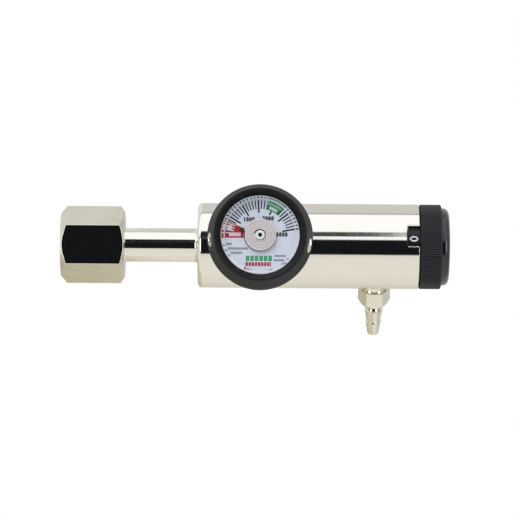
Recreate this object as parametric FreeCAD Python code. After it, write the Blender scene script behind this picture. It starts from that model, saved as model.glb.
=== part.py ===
import FreeCAD, Part
import math
import os

from FreeCAD import Vector

# A constant-flow oxygen regulator, in millimetres. The barrel lies along X, with the inlet nut
# at -X and the flow knob at +X. The gauge faces -Y and +Z is up. The origin is the middle of the
# round land on the inlet nose, which a cylinder valve's outlet takes in.

# Fits and clearances
moving_gap = 0.3
running_fit = 0.05
seat_fit = 0.03
contact_gap = 0.05

# Inlet nipple
nose_r = 8.7
nose_land = 3.2
nose_length = 4.2
nose_round = 5.2
nipple_r = 7.15
nipple_reach = 41.3
nipple_root_fillet = 1.2
nipple_bore_r = 1.9
nipple_bore_bevel = 0.8
nipple_thread_r = 6.55
nipple_thread_length = 13.5
nipple_seal_section_r = 0.8
nipple_seal_from_face = 2.6

# Inlet filter, a sintered cup in the nipple's tail
filter_r = 3.4
filter_length = 8.0
filter_wall = 1.1
filter_rim = 0.5

# Inlet nut
nut_across_flats = 28.575
nut_length = 27.0
nut_front_bevel_length = 2.6
nut_front_bevel_depth = 2.9
nut_rear_bevel_length = 1.75
nut_rear_bevel_depth = 2.6
nut_thread_r = 10.49
nut_thread_length = 16.7
nut_thread_bevel = 1.0
nut_relief_r = 11.6
nut_relief_width = 2.05
nut_stop_gap = 0.25
nut_rest_turn = 6.0
nut_hole_bevel = 0.4
friction_ring_section_r = 0.9
friction_ring_from_rear = 3.4

# Regulator body
body_r = 18.02
body_length = 94.1
body_left_round = 1.9
body_right_bevel = 0.5
inlet_bore_r = 6.6
inlet_bore_depth = 37.5
guide_length = 4.6
main_bore_r = 13.0
drum_bore_r = 15.7
drum_bore_depth = 5.7
vent_r = 0.9
vent_from_face = 49.5
window_length = 5.3
window_width = 8.6
window_angle = 9.75
window_corner_r = 0.6

# Valve seat and its holder
valve_lift = 0.8
pressure_chamber = 3.4
seat_r = 4.2
seat_thickness = 2.0
seat_proud = 0.4
seat_holder_length = 3.8
seat_port_r = 0.8
seat_port_count = 4

# Piston
stem_r = 3.5
stem_mouth_bevel = 1.2
piston_bore_r = 1.1
piston_head_length = 7.4
piston_dish_r = 9.0
piston_dish_depth = 1.5
piston_seal_section_r = 1.2
stem_seal_section_r = 0.8

# Piston spring
spring_mean_r = 9.2
spring_wire_r = 1.1
spring_turns = 5
spring_facets_per_turn = 16
spring_wire_sides = 6

# Outlet block, with the gas gallery that feeds the hose barb
block_length = 12.5
gallery_from_face = 6.95
gallery_r = 11.2
gallery_width = 3.2
block_seal_section_r = 0.9
block_seal_offset = 3.6
gas_passage_r = 0.9
return_passage_r = 1.3

# Orifice disc and its seal
flow_positions = 12
orifice_circle_r = 5.9
orifice_disc_r = 8.2
orifice_disc_thickness = 1.6
orifice_disc_gap = 0.15
orifice_smallest_r = 0.15
orifice_step_r = 0.04
port_seal_section_r = 0.45
port_seal_mean_r = 1.5

# Bonnet over the orifice disc
bonnet_length = 5.4
bonnet_recess_depth = 3.1
spindle_seal_section_r = 0.6

# Detent
detent_circle_r = 10.5
ball_r = 1.4
detent_throw = 0.35
detent_floor = 0.7
detent_spring_wire_r = 0.18
detent_spring_turns = 4
detent_facets_per_turn = 12

# Snap ring
snap_ring_width = 1.1
snap_ring_depth = 0.9
snap_ring_reach = 0.8
snap_ring_land = 0.6
snap_ring_opening = 24.0
snap_ring_eye_r = 0.5

# Number drum
drum_pad_r = 11.9
drum_pad_gap = 0.35
drum_hub_r = 8.0
drum_hub_length = 3.3
drum_hub_flat = 6.9
drum_recess_inner_r = 9.6
drum_recess_outer_r = 13.7
drum_recess_depth = 3.2

# Selector spindle and knob screw
spindle_r = 3.0
spindle_neck_r = 2.5
spindle_end_gap = 0.3
spindle_port_r = 0.6
screw_r = 1.25
screw_length = 6.0
screw_head_r = 3.6
screw_head_length = 2.0
screw_socket_flats = 2.5
screw_socket_depth = 1.2

# Flow knob and its cap
knob_gap = 0.3
knob_inset = 0.02
knob_grip_length = 9.0
knob_rib_count = 112
knob_rib_depth = 0.3
knob_edge_bevel = 0.4
knob_web = 2.7
knob_recess_r = 15.0
cap_r = 16.5
cap_seat_depth = 3.3
cap_reach = 3.1
cap_edge_round = 2.4
cap_crown = 0.8
cap_wall = 1.6

# Gauge stem
gauge_from_face = 26.4
gauge_thread_r = 4.85
gauge_port_wall = 2.4
gauge_spot_r = 7.2
gauge_hex_flats = 11.1
gauge_hex_length = 4.7
gauge_post_r = 4.4
gauge_boss_r = 2.0
gauge_boss_length = 2.7
gauge_boss_hole_r = 0.85
gauge_boss_hole_depth = 1.0
gauge_gas_bore_r = 0.7

# Gauge case. Depths run forward from its back
case_wall = 0.9
case_front_r = 18.6
case_belly = 2.4
case_back_taper = 1.1
case_belly_depth = 13.6
case_neck_depth = 19.2
case_depth = 21.4
case_ledge = 0.8
case_back_round = 2.0

# Gauge dial and lens
dial_depth = 17.0
dial_edge_gap = 0.38
dial_thickness = 0.5
lens_depth = 19.8
lens_rim_thickness = 0.9
lens_thickness = 3.0
lens_rim_width = 1.25
lens_bevel_width = 2.1

# Spiral Bourdon tube and pointer, measured forward from the dial's back
tube_inner_r = 2.3
tube_pitch = 0.63
tube_turns = 7
tube_thickness = 0.36
tube_width = 1.2
tube_rise = 0.9
pointer_angle = 163.0
pointer_length = 3.1
pointer_root_width = 1.7
pointer_thickness = 0.3
pointer_rise = 1.3

# Gauge boot, a rubber skin over the case
boot_wall = 1.15
boot_back_wall = 1.3
boot_ridge_wall = 0.65
boot_ridge_height = 2.2
boot_ridge_round = 0.7
boot_lip_inset = 0.05
boot_back_opening_r = 13.5
boot_hole_r = 3.1
boot_hole_depth = 16.6
boot_hole_angles = (-11.0, 185.0)

# Hose barb
barb_turn = 130.0
barb_thread_r = 4.85
barb_spot_r = 6.0
barb_gasket_thickness = 0.5
barb_collar_r = 5.2
barb_collar_length = 3.4
barb_hex_flats = 12.0
barb_hex_length = 5.9
barb_hex_bevel = 0.4
barb_taper_length = 5.0
barb_neck_r = 2.9
barb_neck_length = 0.4
barb_ring_reach = 6.1
barb_first_ring_r = 3.93
barb_second_ring_r = 3.31
barb_tip_r = 2.48
barb_tip_length = 6.4
barb_bore_r = 1.3

# Places along the barrel
body_face_x = nipple_reach
body_end_x = body_face_x + body_length
chamber_end_x = body_face_x + inlet_bore_depth
main_bore_x = chamber_end_x + guide_length
drum_bore_x = body_end_x - drum_bore_depth
snap_ring_x = drum_bore_x - snap_ring_land - snap_ring_width - contact_gap
bonnet_x = snap_ring_x - bonnet_length
block_x = bonnet_x - block_length
piston_end_x = block_x - moving_gap
piston_face_x = piston_end_x - piston_head_length
seat_holder_x = chamber_end_x - pressure_chamber - seat_holder_length
seat_face_x = chamber_end_x - pressure_chamber + seat_proud
stem_end_x = seat_face_x + valve_lift + contact_gap
gauge_x = body_face_x + gauge_from_face
barb_x = block_x + gallery_from_face
disc_x = bonnet_x + orifice_disc_gap
pad_x = snap_ring_x + drum_pad_gap
drum_rim_x = drum_bore_x + moving_gap
knob_x = body_end_x + knob_gap
hub_end_x = knob_x + drum_hub_length
grip_end_x = knob_x + knob_grip_length
nut_shoulder_x = nose_land / 2 + nut_stop_gap
nut_mouth_x = nut_shoulder_x - nut_thread_length - nut_relief_width
nut_rear_x = nut_mouth_x + nut_length

# Radii that follow from others
knob_r = body_r - knob_inset
case_r = case_front_r + case_belly
case_back_r = case_r - case_back_taper
lens_rim_r = case_front_r - case_wall - contact_gap
lens_bevel_r = lens_rim_r - lens_rim_width
lens_window_r = lens_bevel_r - lens_bevel_width
boot_r = case_r + boot_wall
boot_ridge_r = case_front_r + boot_ridge_wall
boot_lip_r = lens_bevel_r - boot_lip_inset
tube_outer_r = tube_inner_r + tube_turns * tube_pitch + tube_thickness / 2

# Levels out from the barrel's axis. Each spot face is as deep as its full circle needs
gauge_flat = math.sqrt(body_r**2 - gauge_spot_r**2)
gauge_thread_start = inlet_bore_r + gauge_port_wall
case_back = gauge_flat + gauge_hex_length
case_widest = case_back + case_belly_depth
case_neck = case_back + case_neck_depth
case_front = case_back + case_depth
dial_level = case_back + dial_depth
lens_back = case_back + lens_depth
lip_level = lens_back + lens_rim_thickness + contact_gap
boot_front = case_front + boot_ridge_height
barb_flat = math.sqrt(body_r**2 - barb_spot_r**2)

# The dial fills the case's inner cone at its own level
cone_foot_r = case_r - case_wall
cone_top_r = case_front_r - case_wall - case_ledge
cone_top = case_neck - case_wall / 2
dial_share = (dial_level + dial_thickness - case_widest) / (cone_top - case_widest)
dial_r = cone_foot_r - dial_share * (cone_foot_r - cone_top_r) - dial_edge_gap

axis_x = Vector(1, 0, 0)
gauge_axis = Vector(0, -1, 0)
barb_axis = Vector(0, -math.cos(math.radians(barb_turn)), -math.sin(math.radians(barb_turn)))
position_angle = 360.0 / flow_positions


def rounded(before, corner, after, radius):
    """The arc of a given radius that rounds one corner of an outline."""
    to_before = (before - corner).normalize()
    to_after = (after - corner).normalize()
    half = to_before.getAngle(to_after) / 2
    middle = (to_before + to_after).normalize()
    start = corner + to_before * (radius / math.tan(half))
    end = corner + to_after * (radius / math.tan(half))
    through = corner + middle * (radius / math.sin(half) - radius)
    return start, through, end


def outline(*corners):
    """A closed flat face in the XY plane. A corner with a third number is rounded to that radius."""
    points = [Vector(c[0], c[1], 0) for c in corners]
    edges = []
    here = []
    for i, corner in enumerate(corners):
        if len(corner) == 2:
            here.append((points[i], None, points[i]))
            continue
        following = points[(i + 1) % len(points)]
        here.append(rounded(points[i - 1], points[i], following, corner[2]))
    for i, (start, through, end) in enumerate(here):
        if through is not None:
            edges.append(Part.Arc(start, through, end).toShape())
        following = here[(i + 1) % len(here)][0]
        if end.distanceToPoint(following) > 1e-6:
            edges.append(Part.makeLine(end, following))
    return Part.Face(Part.Wire(edges))


def turned(*corners):
    """A solid turned about X from corners given as (x, radius) or (x, radius, rounding)."""
    return outline(*corners).revolve(Vector(0, 0, 0), axis_x, 360)


def rod(start, end, radius):
    """A round bar along X."""
    return Part.makeCylinder(radius, end - start, Vector(start, 0, 0), axis_x)


def tube(start, end, outer_r, inner_r):
    """A round tube along X."""
    return turned((start, inner_r), (start, outer_r), (end, outer_r), (end, inner_r))


def drilled(start, end, radius, circle_r, angle):
    """A bar along X at a radius and an angle from the barrel's axis. Angle 0 points at -Y, 90 at +Z."""
    away = circle_r * Vector(0, -math.cos(math.radians(angle)), math.sin(math.radians(angle)))
    return Part.makeCylinder(radius, end - start, Vector(start, 0, 0) + away, axis_x)


def torus(x, mean_r, section_r):
    """A round-section sealing ring about X."""
    return Part.makeTorus(mean_r, section_r, Vector(x, 0, 0), axis_x)


def hexagon(start, end, across_flats, corner_angle=90.0):
    """A hexagonal bar along X, with one corner at an angle from +Y."""
    corner_r = across_flats / math.sqrt(3)
    turns = [math.radians(corner_angle + 60 * i) for i in range(7)]
    points = [Vector(start, corner_r * math.cos(a), corner_r * math.sin(a)) for a in turns]
    return Part.Face(Part.makePolygon(points)).extrude(Vector(end - start, 0, 0))


def stood(shape, x, axis):
    """A shape made along X, stood on the barrel's axis at x. Its Y comes to lie along the barrel."""
    rotation = FreeCAD.Rotation(axis, axis_x, axis.cross(axis_x), "XYZ")
    return shape.transformed(FreeCAD.Placement(Vector(x, 0, 0), rotation).toMatrix())


def coil(start, length, mean_r, wire_r, turns, per_turn, sides):
    """A compression spring along X, as flat facets round a helix."""
    pitch = length / turns
    rows = []
    for i in range(turns * per_turn + 1):
        around = 2 * math.pi * i / per_turn
        along = start + pitch * i / per_turn
        row = []
        for k in range(sides):
            section = 2 * math.pi * k / sides
            radius = mean_r + wire_r * math.cos(section)
            x = along + wire_r * math.sin(section)
            row.append(Vector(x, radius * math.cos(around), radius * math.sin(around)))
        rows.append(row)
    faces = [Part.Face(Part.makePolygon(rows[end] + rows[end][:1])) for end in (0, -1)]
    for low, high in zip(rows, rows[1:]):
        for k in range(sides):
            following = (k + 1) % sides
            near = [low[k], low[following], high[k]]
            far = [low[following], high[following], high[k]]
            faces += [Part.Face(Part.makePolygon(facet + facet[:1])) for facet in (near, far)]
    spring = Part.Solid(Part.Shell(faces))
    if spring.Volume < 0:
        spring.reverse()
    return spring


def seal_groove(x, section_r, outer_r, inner_r):
    """The space of a ring groove, a little wider than the ring's section."""
    half = section_r + 2 * contact_gap
    return tube(x - half, x + half, outer_r, inner_r)


def inlet_nipple():
    """Turned brass nipple: bullet nose, round land, shank, root flange and threaded tail."""
    tip_x = -nose_land / 2 - nose_length
    land_end = nose_land / 2
    arc_r = nose_r - nose_round
    tip_r = arc_r + math.sqrt(nose_round**2 - nose_length**2)
    half_turn = math.asin(nose_length / nose_round) / 2
    through_x = -nose_land / 2 - nose_round * math.sin(half_turn)
    through = Vector(through_x, arc_r + nose_round * math.cos(half_turn), 0)
    tail_x = body_face_x + nipple_thread_length
    flange_r = nipple_r + nipple_root_fillet
    fillet_turn = nipple_root_fillet * (1 - math.sqrt(0.5))
    fillet_x = body_face_x - nipple_root_fillet
    edges = [
        Part.makeLine(Vector(tip_x, 0, 0), Vector(tip_x, tip_r, 0)),
        Part.Arc(Vector(tip_x, tip_r, 0), through, Vector(-nose_land / 2, nose_r, 0)).toShape(),
        Part.makeLine(Vector(-nose_land / 2, nose_r, 0), Vector(land_end, nose_r, 0)),
        Part.makeLine(Vector(land_end, nose_r, 0), Vector(land_end + nose_r - nipple_r, nipple_r, 0)),
        Part.makeLine(Vector(land_end + nose_r - nipple_r, nipple_r, 0), Vector(fillet_x, nipple_r, 0)),
        Part.Arc(
            Vector(fillet_x, nipple_r, 0),
            Vector(body_face_x - fillet_turn, nipple_r + fillet_turn, 0),
            Vector(body_face_x, flange_r, 0),
        ).toShape(),
        Part.makeLine(Vector(body_face_x, flange_r, 0), Vector(body_face_x, nipple_thread_r, 0)),
        Part.makeLine(Vector(body_face_x, nipple_thread_r, 0), Vector(tail_x, nipple_thread_r, 0)),
        Part.makeLine(Vector(tail_x, nipple_thread_r, 0), Vector(tail_x, 0, 0)),
        Part.makeLine(Vector(tail_x, 0, 0), Vector(tip_x, 0, 0)),
    ]
    solid = Part.Face(Part.Wire(edges)).revolve(Vector(0, 0, 0), axis_x, 360)
    bore = turned(
        (tip_x, 0),
        (tip_x, nipple_bore_r + nipple_bore_bevel),
        (tip_x + nipple_bore_bevel, nipple_bore_r),
        (tail_x, nipple_bore_r),
        (tail_x, 0),
    )
    pocket = rod(tail_x - filter_length, tail_x, filter_r + seat_fit)
    seal_mean_r = inlet_bore_r - seat_fit - nipple_seal_section_r
    groove_root = seal_mean_r - nipple_seal_section_r - seat_fit
    seal_x = body_face_x + nipple_seal_from_face
    groove = seal_groove(seal_x, nipple_seal_section_r, nipple_r, groove_root)
    return solid.cut([bore, pocket, groove])


def nipple_o_ring():
    mean_r = inlet_bore_r - seat_fit - nipple_seal_section_r
    return torus(body_face_x + nipple_seal_from_face, mean_r, nipple_seal_section_r)


def inlet_filter():
    """Sintered cup with its open end at the nipple's tail."""
    tail_x = body_face_x + nipple_thread_length
    start = tail_x - filter_length + contact_gap
    return turned(
        (start, 0),
        (start, filter_r, filter_rim),
        (tail_x, filter_r),
        (tail_x, filter_r - filter_wall),
        (start + filter_wall, filter_r - filter_wall),
        (start + filter_wall, 0),
    )


def inlet_nut():
    """Hexagonal nut with a bored thread space, a relief, a cone seat and a clear hole for the nipple."""
    corner_r = nut_across_flats / math.sqrt(3)
    hole_r = nipple_r + moving_gap
    envelope = turned(
        (nut_mouth_x, 0),
        (nut_mouth_x, corner_r - nut_front_bevel_depth),
        (nut_mouth_x + nut_front_bevel_length, corner_r),
        (nut_rear_x - nut_rear_bevel_length, corner_r),
        (nut_rear_x, corner_r - nut_rear_bevel_depth),
        (nut_rear_x, 0),
    )
    bar = hexagon(nut_mouth_x, nut_rear_x, nut_across_flats, 90.0 + nut_rest_turn)
    blank = bar.common(envelope)
    thread_end = nut_mouth_x + nut_thread_length
    relief_slope = nut_relief_r - nut_thread_r
    seat_r = nose_r + moving_gap
    space = turned(
        (nut_mouth_x, 0),
        (nut_mouth_x, nut_thread_r + nut_thread_bevel),
        (nut_mouth_x + nut_thread_bevel, nut_thread_r),
        (thread_end - relief_slope, nut_thread_r),
        (thread_end, nut_relief_r),
        (nut_shoulder_x, nut_relief_r),
        (nut_shoulder_x, seat_r),
        (nut_shoulder_x + seat_r - hole_r, hole_r),
        (nut_rear_x - nut_hole_bevel, hole_r),
        (nut_rear_x, hole_r + nut_hole_bevel),
        (nut_rear_x, 0),
    )
    ring_mean_r = nipple_r + running_fit + friction_ring_section_r
    groove_root = ring_mean_r + friction_ring_section_r + running_fit
    ring_x = nut_rear_x - friction_ring_from_rear
    groove = seal_groove(ring_x, friction_ring_section_r, groove_root, nipple_r)
    return blank.cut([space, groove])


def nut_friction_ring():
    """Rubber ring in the nut's rear hole. It rides on the nipple and holds the nut where it is put."""
    mean_r = nipple_r + running_fit + friction_ring_section_r
    return torus(nut_rear_x - friction_ring_from_rear, mean_r, friction_ring_section_r)


def window_cutter():
    """Slot for the flow number, open at the body's right end, with rounded inner corners."""
    start = body_end_x - window_length
    half = window_width / 2
    slot = outline(
        (start, -half, window_corner_r),
        (start, half, window_corner_r),
        (body_end_x + window_length, half),
        (body_end_x + window_length, -half),
    )
    block = slot.extrude(Vector(0, 0, 2 * body_r))
    block.translate(Vector(0, 0, main_bore_r))
    block.rotate(Vector(0, 0, 0), axis_x, 90.0 - window_angle)
    return block


def regulator_body():
    """Turned brass barrel: inlet bore, stem guide, main bore, drum bore, gauge and barb ports."""
    barrel = turned(
        (body_face_x, 0),
        (body_face_x, body_r, body_left_round),
        (body_end_x - body_right_bevel, body_r),
        (body_end_x, body_r - body_right_bevel),
        (body_end_x, 0),
    )
    guide_seal_x = (chamber_end_x + main_bore_x) / 2
    guide_seal_r = stem_r + running_fit + 2 * stem_seal_section_r + seat_fit
    groove_r = main_bore_r + snap_ring_depth
    groove_start = snap_ring_x - contact_gap
    groove_end = snap_ring_x + snap_ring_width + contact_gap
    cuts = [
        rod(body_face_x, chamber_end_x, inlet_bore_r),
        rod(chamber_end_x, main_bore_x, stem_r + running_fit),
        seal_groove(guide_seal_x, stem_seal_section_r, guide_seal_r, stem_r),
        rod(main_bore_x, drum_bore_x, main_bore_r),
        rod(drum_bore_x, body_end_x, drum_bore_r),
        tube(groove_start, groove_end, groove_r, main_bore_r - snap_ring_depth),
        window_cutter(),
        stood(rod(gauge_thread_start - moving_gap, body_r, gauge_thread_r + seat_fit), gauge_x, gauge_axis),
        stood(rod(0, gauge_thread_start, gauge_gas_bore_r), gauge_x, gauge_axis),
        stood(rod(gauge_flat, 2 * body_r, gauge_spot_r), gauge_x, gauge_axis),
        stood(rod(0, body_r, barb_thread_r + seat_fit), barb_x, barb_axis),
        stood(rod(barb_flat, 2 * body_r, barb_spot_r), barb_x, barb_axis),
        stood(rod(0, 2 * body_r, vent_r), body_face_x + vent_from_face, -gauge_axis),
    ]
    return barrel.cut(cuts)


def seat_holder():
    """Brass plug that carries the valve seat, with gas ports round it."""
    end = seat_holder_x + seat_holder_length
    blank = rod(seat_holder_x, end, inlet_bore_r - seat_fit)
    cuts = [rod(end - seat_thickness + seat_proud, end, seat_r + seat_fit)]
    port_circle_r = (seat_r + inlet_bore_r) / 2
    for i in range(seat_port_count):
        cuts.append(drilled(seat_holder_x, end, seat_port_r, port_circle_r, 360.0 * i / seat_port_count))
    return blank.cut(cuts)


def valve_seat():
    """Plastic disc that the piston's stem closes on."""
    return rod(seat_face_x - seat_thickness + contact_gap, seat_face_x, seat_r)


def piston():
    """Brass piston: hollow stem with a knife-edged mouth, and a dished head."""
    head_r = main_bore_r - running_fit
    blank = turned(
        (stem_end_x, 0),
        (stem_end_x, stem_r - stem_mouth_bevel),
        (stem_end_x + stem_mouth_bevel, stem_r),
        (piston_face_x, stem_r),
        (piston_face_x, head_r),
        (piston_end_x, head_r),
        (piston_end_x, 0),
    )
    seal_x = (piston_face_x + piston_end_x) / 2
    groove_root = main_bore_r - running_fit - 2 * piston_seal_section_r - seat_fit
    cuts = [
        rod(stem_end_x, piston_end_x, piston_bore_r),
        rod(piston_end_x - piston_dish_depth, piston_end_x, piston_dish_r),
        seal_groove(seal_x, piston_seal_section_r, main_bore_r, groove_root),
    ]
    return blank.cut(cuts)


def piston_o_ring():
    mean_r = main_bore_r - running_fit - piston_seal_section_r
    return torus((piston_face_x + piston_end_x) / 2, mean_r, piston_seal_section_r)


def stem_o_ring():
    mean_r = stem_r + running_fit + stem_seal_section_r
    return torus((chamber_end_x + main_bore_x) / 2, mean_r, stem_seal_section_r)


def piston_spring():
    room = piston_face_x - main_bore_x
    start = main_bore_x + spring_wire_r + contact_gap
    length = room - 2 * spring_wire_r - 2 * contact_gap
    return coil(
        start,
        length,
        spring_mean_r,
        spring_wire_r,
        spring_turns,
        spring_facets_per_turn,
        spring_wire_sides,
    )


def outlet_block():
    """Brass block with the passage to the orifice disc and the gallery back to the hose barb."""
    blank = rod(block_x, bonnet_x, main_bore_r - seat_fit)
    groove_root = main_bore_r - 2 * seat_fit - 2 * block_seal_section_r
    port_pocket_depth = 2 * port_seal_section_r - contact_gap
    port_pocket_r = port_seal_mean_r + port_seal_section_r + seat_fit
    barb_drill = rod(0, gallery_r + 1, return_passage_r)
    cuts = [
        tube(barb_x - gallery_width / 2, barb_x + gallery_width / 2, main_bore_r, gallery_r),
        drilled(block_x, bonnet_x, gas_passage_r, orifice_circle_r, 90),
        drilled(bonnet_x - port_pocket_depth, bonnet_x, port_pocket_r, orifice_circle_r, 90),
        rod(barb_x, bonnet_x, return_passage_r),
        stood(barb_drill, barb_x, barb_axis),
    ]
    for side in (-1, 1):
        groove_x = barb_x + side * block_seal_offset
        cuts.append(seal_groove(groove_x, block_seal_section_r, main_bore_r, groove_root))
    return blank.cut(cuts)


def outlet_block_o_rings():
    mean_r = main_bore_r - seat_fit - block_seal_section_r
    rings = [torus(barb_x + side * block_seal_offset, mean_r, block_seal_section_r) for side in (-1, 1)]
    return Part.makeCompound(rings)


def port_seal():
    """Small ring between the outlet block and the orifice disc."""
    ring = torus(bonnet_x + contact_gap - port_seal_section_r, port_seal_mean_r, port_seal_section_r)
    ring.translate(Vector(0, 0, orifice_circle_r))
    return ring


def orifice_disc():
    """Disc with a blank place and graded holes, one for each flow position."""
    end = disc_x + orifice_disc_thickness
    blank = tube(disc_x, end, orifice_disc_r, spindle_r + seat_fit)
    cuts = []
    for i in range(1, flow_positions):
        hole_r = orifice_smallest_r + orifice_step_r * (i - 1)
        cuts.append(drilled(disc_x, end, hole_r, orifice_circle_r, 90 + position_angle * i))
    return blank.cut(cuts)


def selector_bonnet():
    """Ring that closes the disc's chamber, guides the spindle and carries the detent."""
    blank = tube(bonnet_x, snap_ring_x, main_bore_r - seat_fit, spindle_r + running_fit)
    recess_end = bonnet_x + bonnet_recess_depth
    seal_x = (recess_end + snap_ring_x) / 2
    seal_root = spindle_r + running_fit + 2 * spindle_seal_section_r + seat_fit
    cuts = [
        rod(bonnet_x, recess_end, orifice_disc_r + moving_gap),
        seal_groove(seal_x, spindle_seal_section_r, seal_root, spindle_r),
        drilled(bonnet_x + detent_floor, snap_ring_x, ball_r + running_fit, detent_circle_r, 90),
    ]
    return blank.cut(cuts)


def spindle_o_ring():
    seal_x = (bonnet_x + bonnet_recess_depth + snap_ring_x) / 2
    return torus(seal_x, spindle_r + running_fit + spindle_seal_section_r, spindle_seal_section_r)


def selector_spindle():
    """Brass spindle: hollow gas end with a cross port, sealed shank, neck for the drum, tapped end."""
    neck_end = hub_end_x - spindle_end_gap
    port_x = (disc_x + orifice_disc_thickness + bonnet_x + bonnet_recess_depth) / 2
    blank = turned(
        (disc_x, 0),
        (disc_x, spindle_r),
        (pad_x, spindle_r),
        (pad_x, spindle_neck_r),
        (neck_end, spindle_neck_r),
        (neck_end, 0),
    )
    port_foot = Vector(port_x, 0, -spindle_r)
    cross_port = Part.makeCylinder(spindle_port_r, 2 * spindle_r, port_foot, Vector(0, 0, 1))
    screw_hole = rod(hub_end_x - screw_length - 1, neck_end, screw_r + seat_fit)
    gas_bore = rod(disc_x, port_x + spindle_port_r, return_passage_r)
    return blank.cut([cross_port, screw_hole, gas_bore])


def detent_ball():
    centre_x = pad_x + detent_throw - ball_r
    return Part.makeSphere(ball_r, Vector(centre_x, 0, detent_circle_r))


def detent_spring():
    start = bonnet_x + detent_floor + contact_gap
    mean_r = ball_r - 2 * detent_spring_wire_r
    ball_rest_x = pad_x + detent_throw - ball_r - math.sqrt(ball_r**2 - mean_r**2)
    length = ball_rest_x - start - 3 * detent_spring_wire_r
    spring = coil(
        start + detent_spring_wire_r,
        length,
        mean_r,
        detent_spring_wire_r,
        detent_spring_turns,
        detent_facets_per_turn,
        spring_wire_sides,
    )
    spring.translate(Vector(0, 0, detent_circle_r))
    return spring


def snap_ring():
    """Spring-steel ring in a groove of the main bore, with a gap and an eye at each end."""
    outer_r = main_bore_r + snap_ring_depth - contact_gap
    inner_r = main_bore_r - snap_ring_reach
    end_x = snap_ring_x + snap_ring_width
    ring = tube(snap_ring_x, end_x, outer_r, inner_r)
    foot = Vector(snap_ring_x, 0, 0)
    opening = Part.makeCylinder(2 * outer_r, snap_ring_width, foot, axis_x, snap_ring_opening)
    opening.rotate(Vector(0, 0, 0), axis_x, -90 - snap_ring_opening / 2)
    eye_circle_r = (outer_r + inner_r) / 2
    eye_turn = snap_ring_opening / 2 + math.degrees(3 * snap_ring_eye_r / eye_circle_r)
    cuts = [opening]
    for side in (-1, 1):
        cuts.append(drilled(snap_ring_x, end_x, snap_ring_eye_r, eye_circle_r, side * eye_turn - 90))
    return ring.cut(cuts)


def number_drum():
    """Turned drum: numbered rim, rear pad with a ring of detent pockets, keyed hub for the knob."""
    rim_r = drum_bore_r - moving_gap
    blank = turned(
        (pad_x, 0),
        (pad_x, drum_pad_r),
        (drum_rim_x, drum_pad_r),
        (drum_rim_x, rim_r),
        (knob_x, rim_r),
        (knob_x, drum_recess_outer_r),
        (knob_x - drum_recess_depth, drum_recess_outer_r),
        (knob_x - drum_recess_depth, drum_recess_inner_r),
        (knob_x, drum_recess_inner_r),
        (knob_x, drum_hub_r),
        (hub_end_x, drum_hub_r),
        (hub_end_x, 0),
    )
    key = Part.makeBox(drum_hub_length, 4 * drum_hub_r, drum_hub_r)
    key.translate(Vector(knob_x, -2 * drum_hub_r, drum_hub_flat))
    pocket_r = ball_r + contact_gap
    pocket_x = pad_x + detent_throw - ball_r
    cuts = [rod(pad_x, hub_end_x, spindle_neck_r + seat_fit), key]
    for i in range(flow_positions):
        pocket = Part.makeSphere(pocket_r, Vector(pocket_x, 0, detent_circle_r))
        pocket.rotate(Vector(0, 0, 0), axis_x, position_angle * i)
        cuts.append(pocket)
    return blank.cut(cuts)


def knob_screw():
    head_end = hub_end_x + screw_head_length
    blank = turned(
        (hub_end_x - screw_length, 0),
        (hub_end_x - screw_length, screw_r),
        (hub_end_x, screw_r),
        (hub_end_x, screw_head_r),
        (head_end, screw_head_r, screw_r / 2),
        (head_end, 0),
    )
    return blank.cut(hexagon(head_end - screw_socket_depth, head_end, screw_socket_flats))


def flow_knob():
    """Moulded knob: a grip with fine ribs all round, a web keyed to the drum, a recess for the cap."""
    points = []
    for i in range(2 * knob_rib_count):
        around = math.pi * i / knob_rib_count
        radius = knob_r - knob_rib_depth * (i % 2)
        points.append(Vector(knob_x, radius * math.cos(around), radius * math.sin(around)))
    star = Part.Face(Part.makePolygon(points + points[:1]))
    grip = star.extrude(Vector(knob_grip_length, 0, 0))
    envelope = turned(
        (knob_x, 0),
        (knob_x, knob_r),
        (grip_end_x - knob_edge_bevel, knob_r),
        (grip_end_x, knob_r - knob_edge_bevel),
        (grip_end_x, 0),
    )
    hub_flat = drum_hub_flat + contact_gap
    hub_hole = rod(knob_x, grip_end_x, drum_hub_r + contact_gap)
    key = Part.makeBox(knob_web, 4 * drum_hub_r, drum_hub_r)
    key.translate(Vector(knob_x, -2 * drum_hub_r, hub_flat))
    cuts = [
        hub_hole.cut(key),
        rod(knob_x + knob_web, grip_end_x, knob_recess_r),
        rod(grip_end_x - cap_seat_depth, grip_end_x, cap_r + contact_gap),
    ]
    return grip.common(envelope).cut(cuts)


def knob_cap():
    """Glossy domed cap, snapped into the knob's recess."""
    seat_x = grip_end_x - cap_seat_depth
    shoulder_x = grip_end_x + cap_reach
    crown_x = shoulder_x + cap_crown
    inner_r = cap_r - cap_wall
    crown_r = (cap_r**2 + cap_crown**2) / (2 * cap_crown)
    cup = turned(
        (seat_x, 0),
        (seat_x, cap_r),
        (crown_x, cap_r, cap_edge_round),
        (crown_x, 0),
    )
    ball = Part.makeSphere(crown_r, Vector(crown_x - crown_r, 0, 0))
    hollow = turned(
        (seat_x, 0),
        (seat_x, inner_r),
        (shoulder_x - cap_wall, inner_r, cap_edge_round / 2),
        (shoulder_x - cap_wall, 0),
    )
    return cup.common(ball).cut(hollow)


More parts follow.
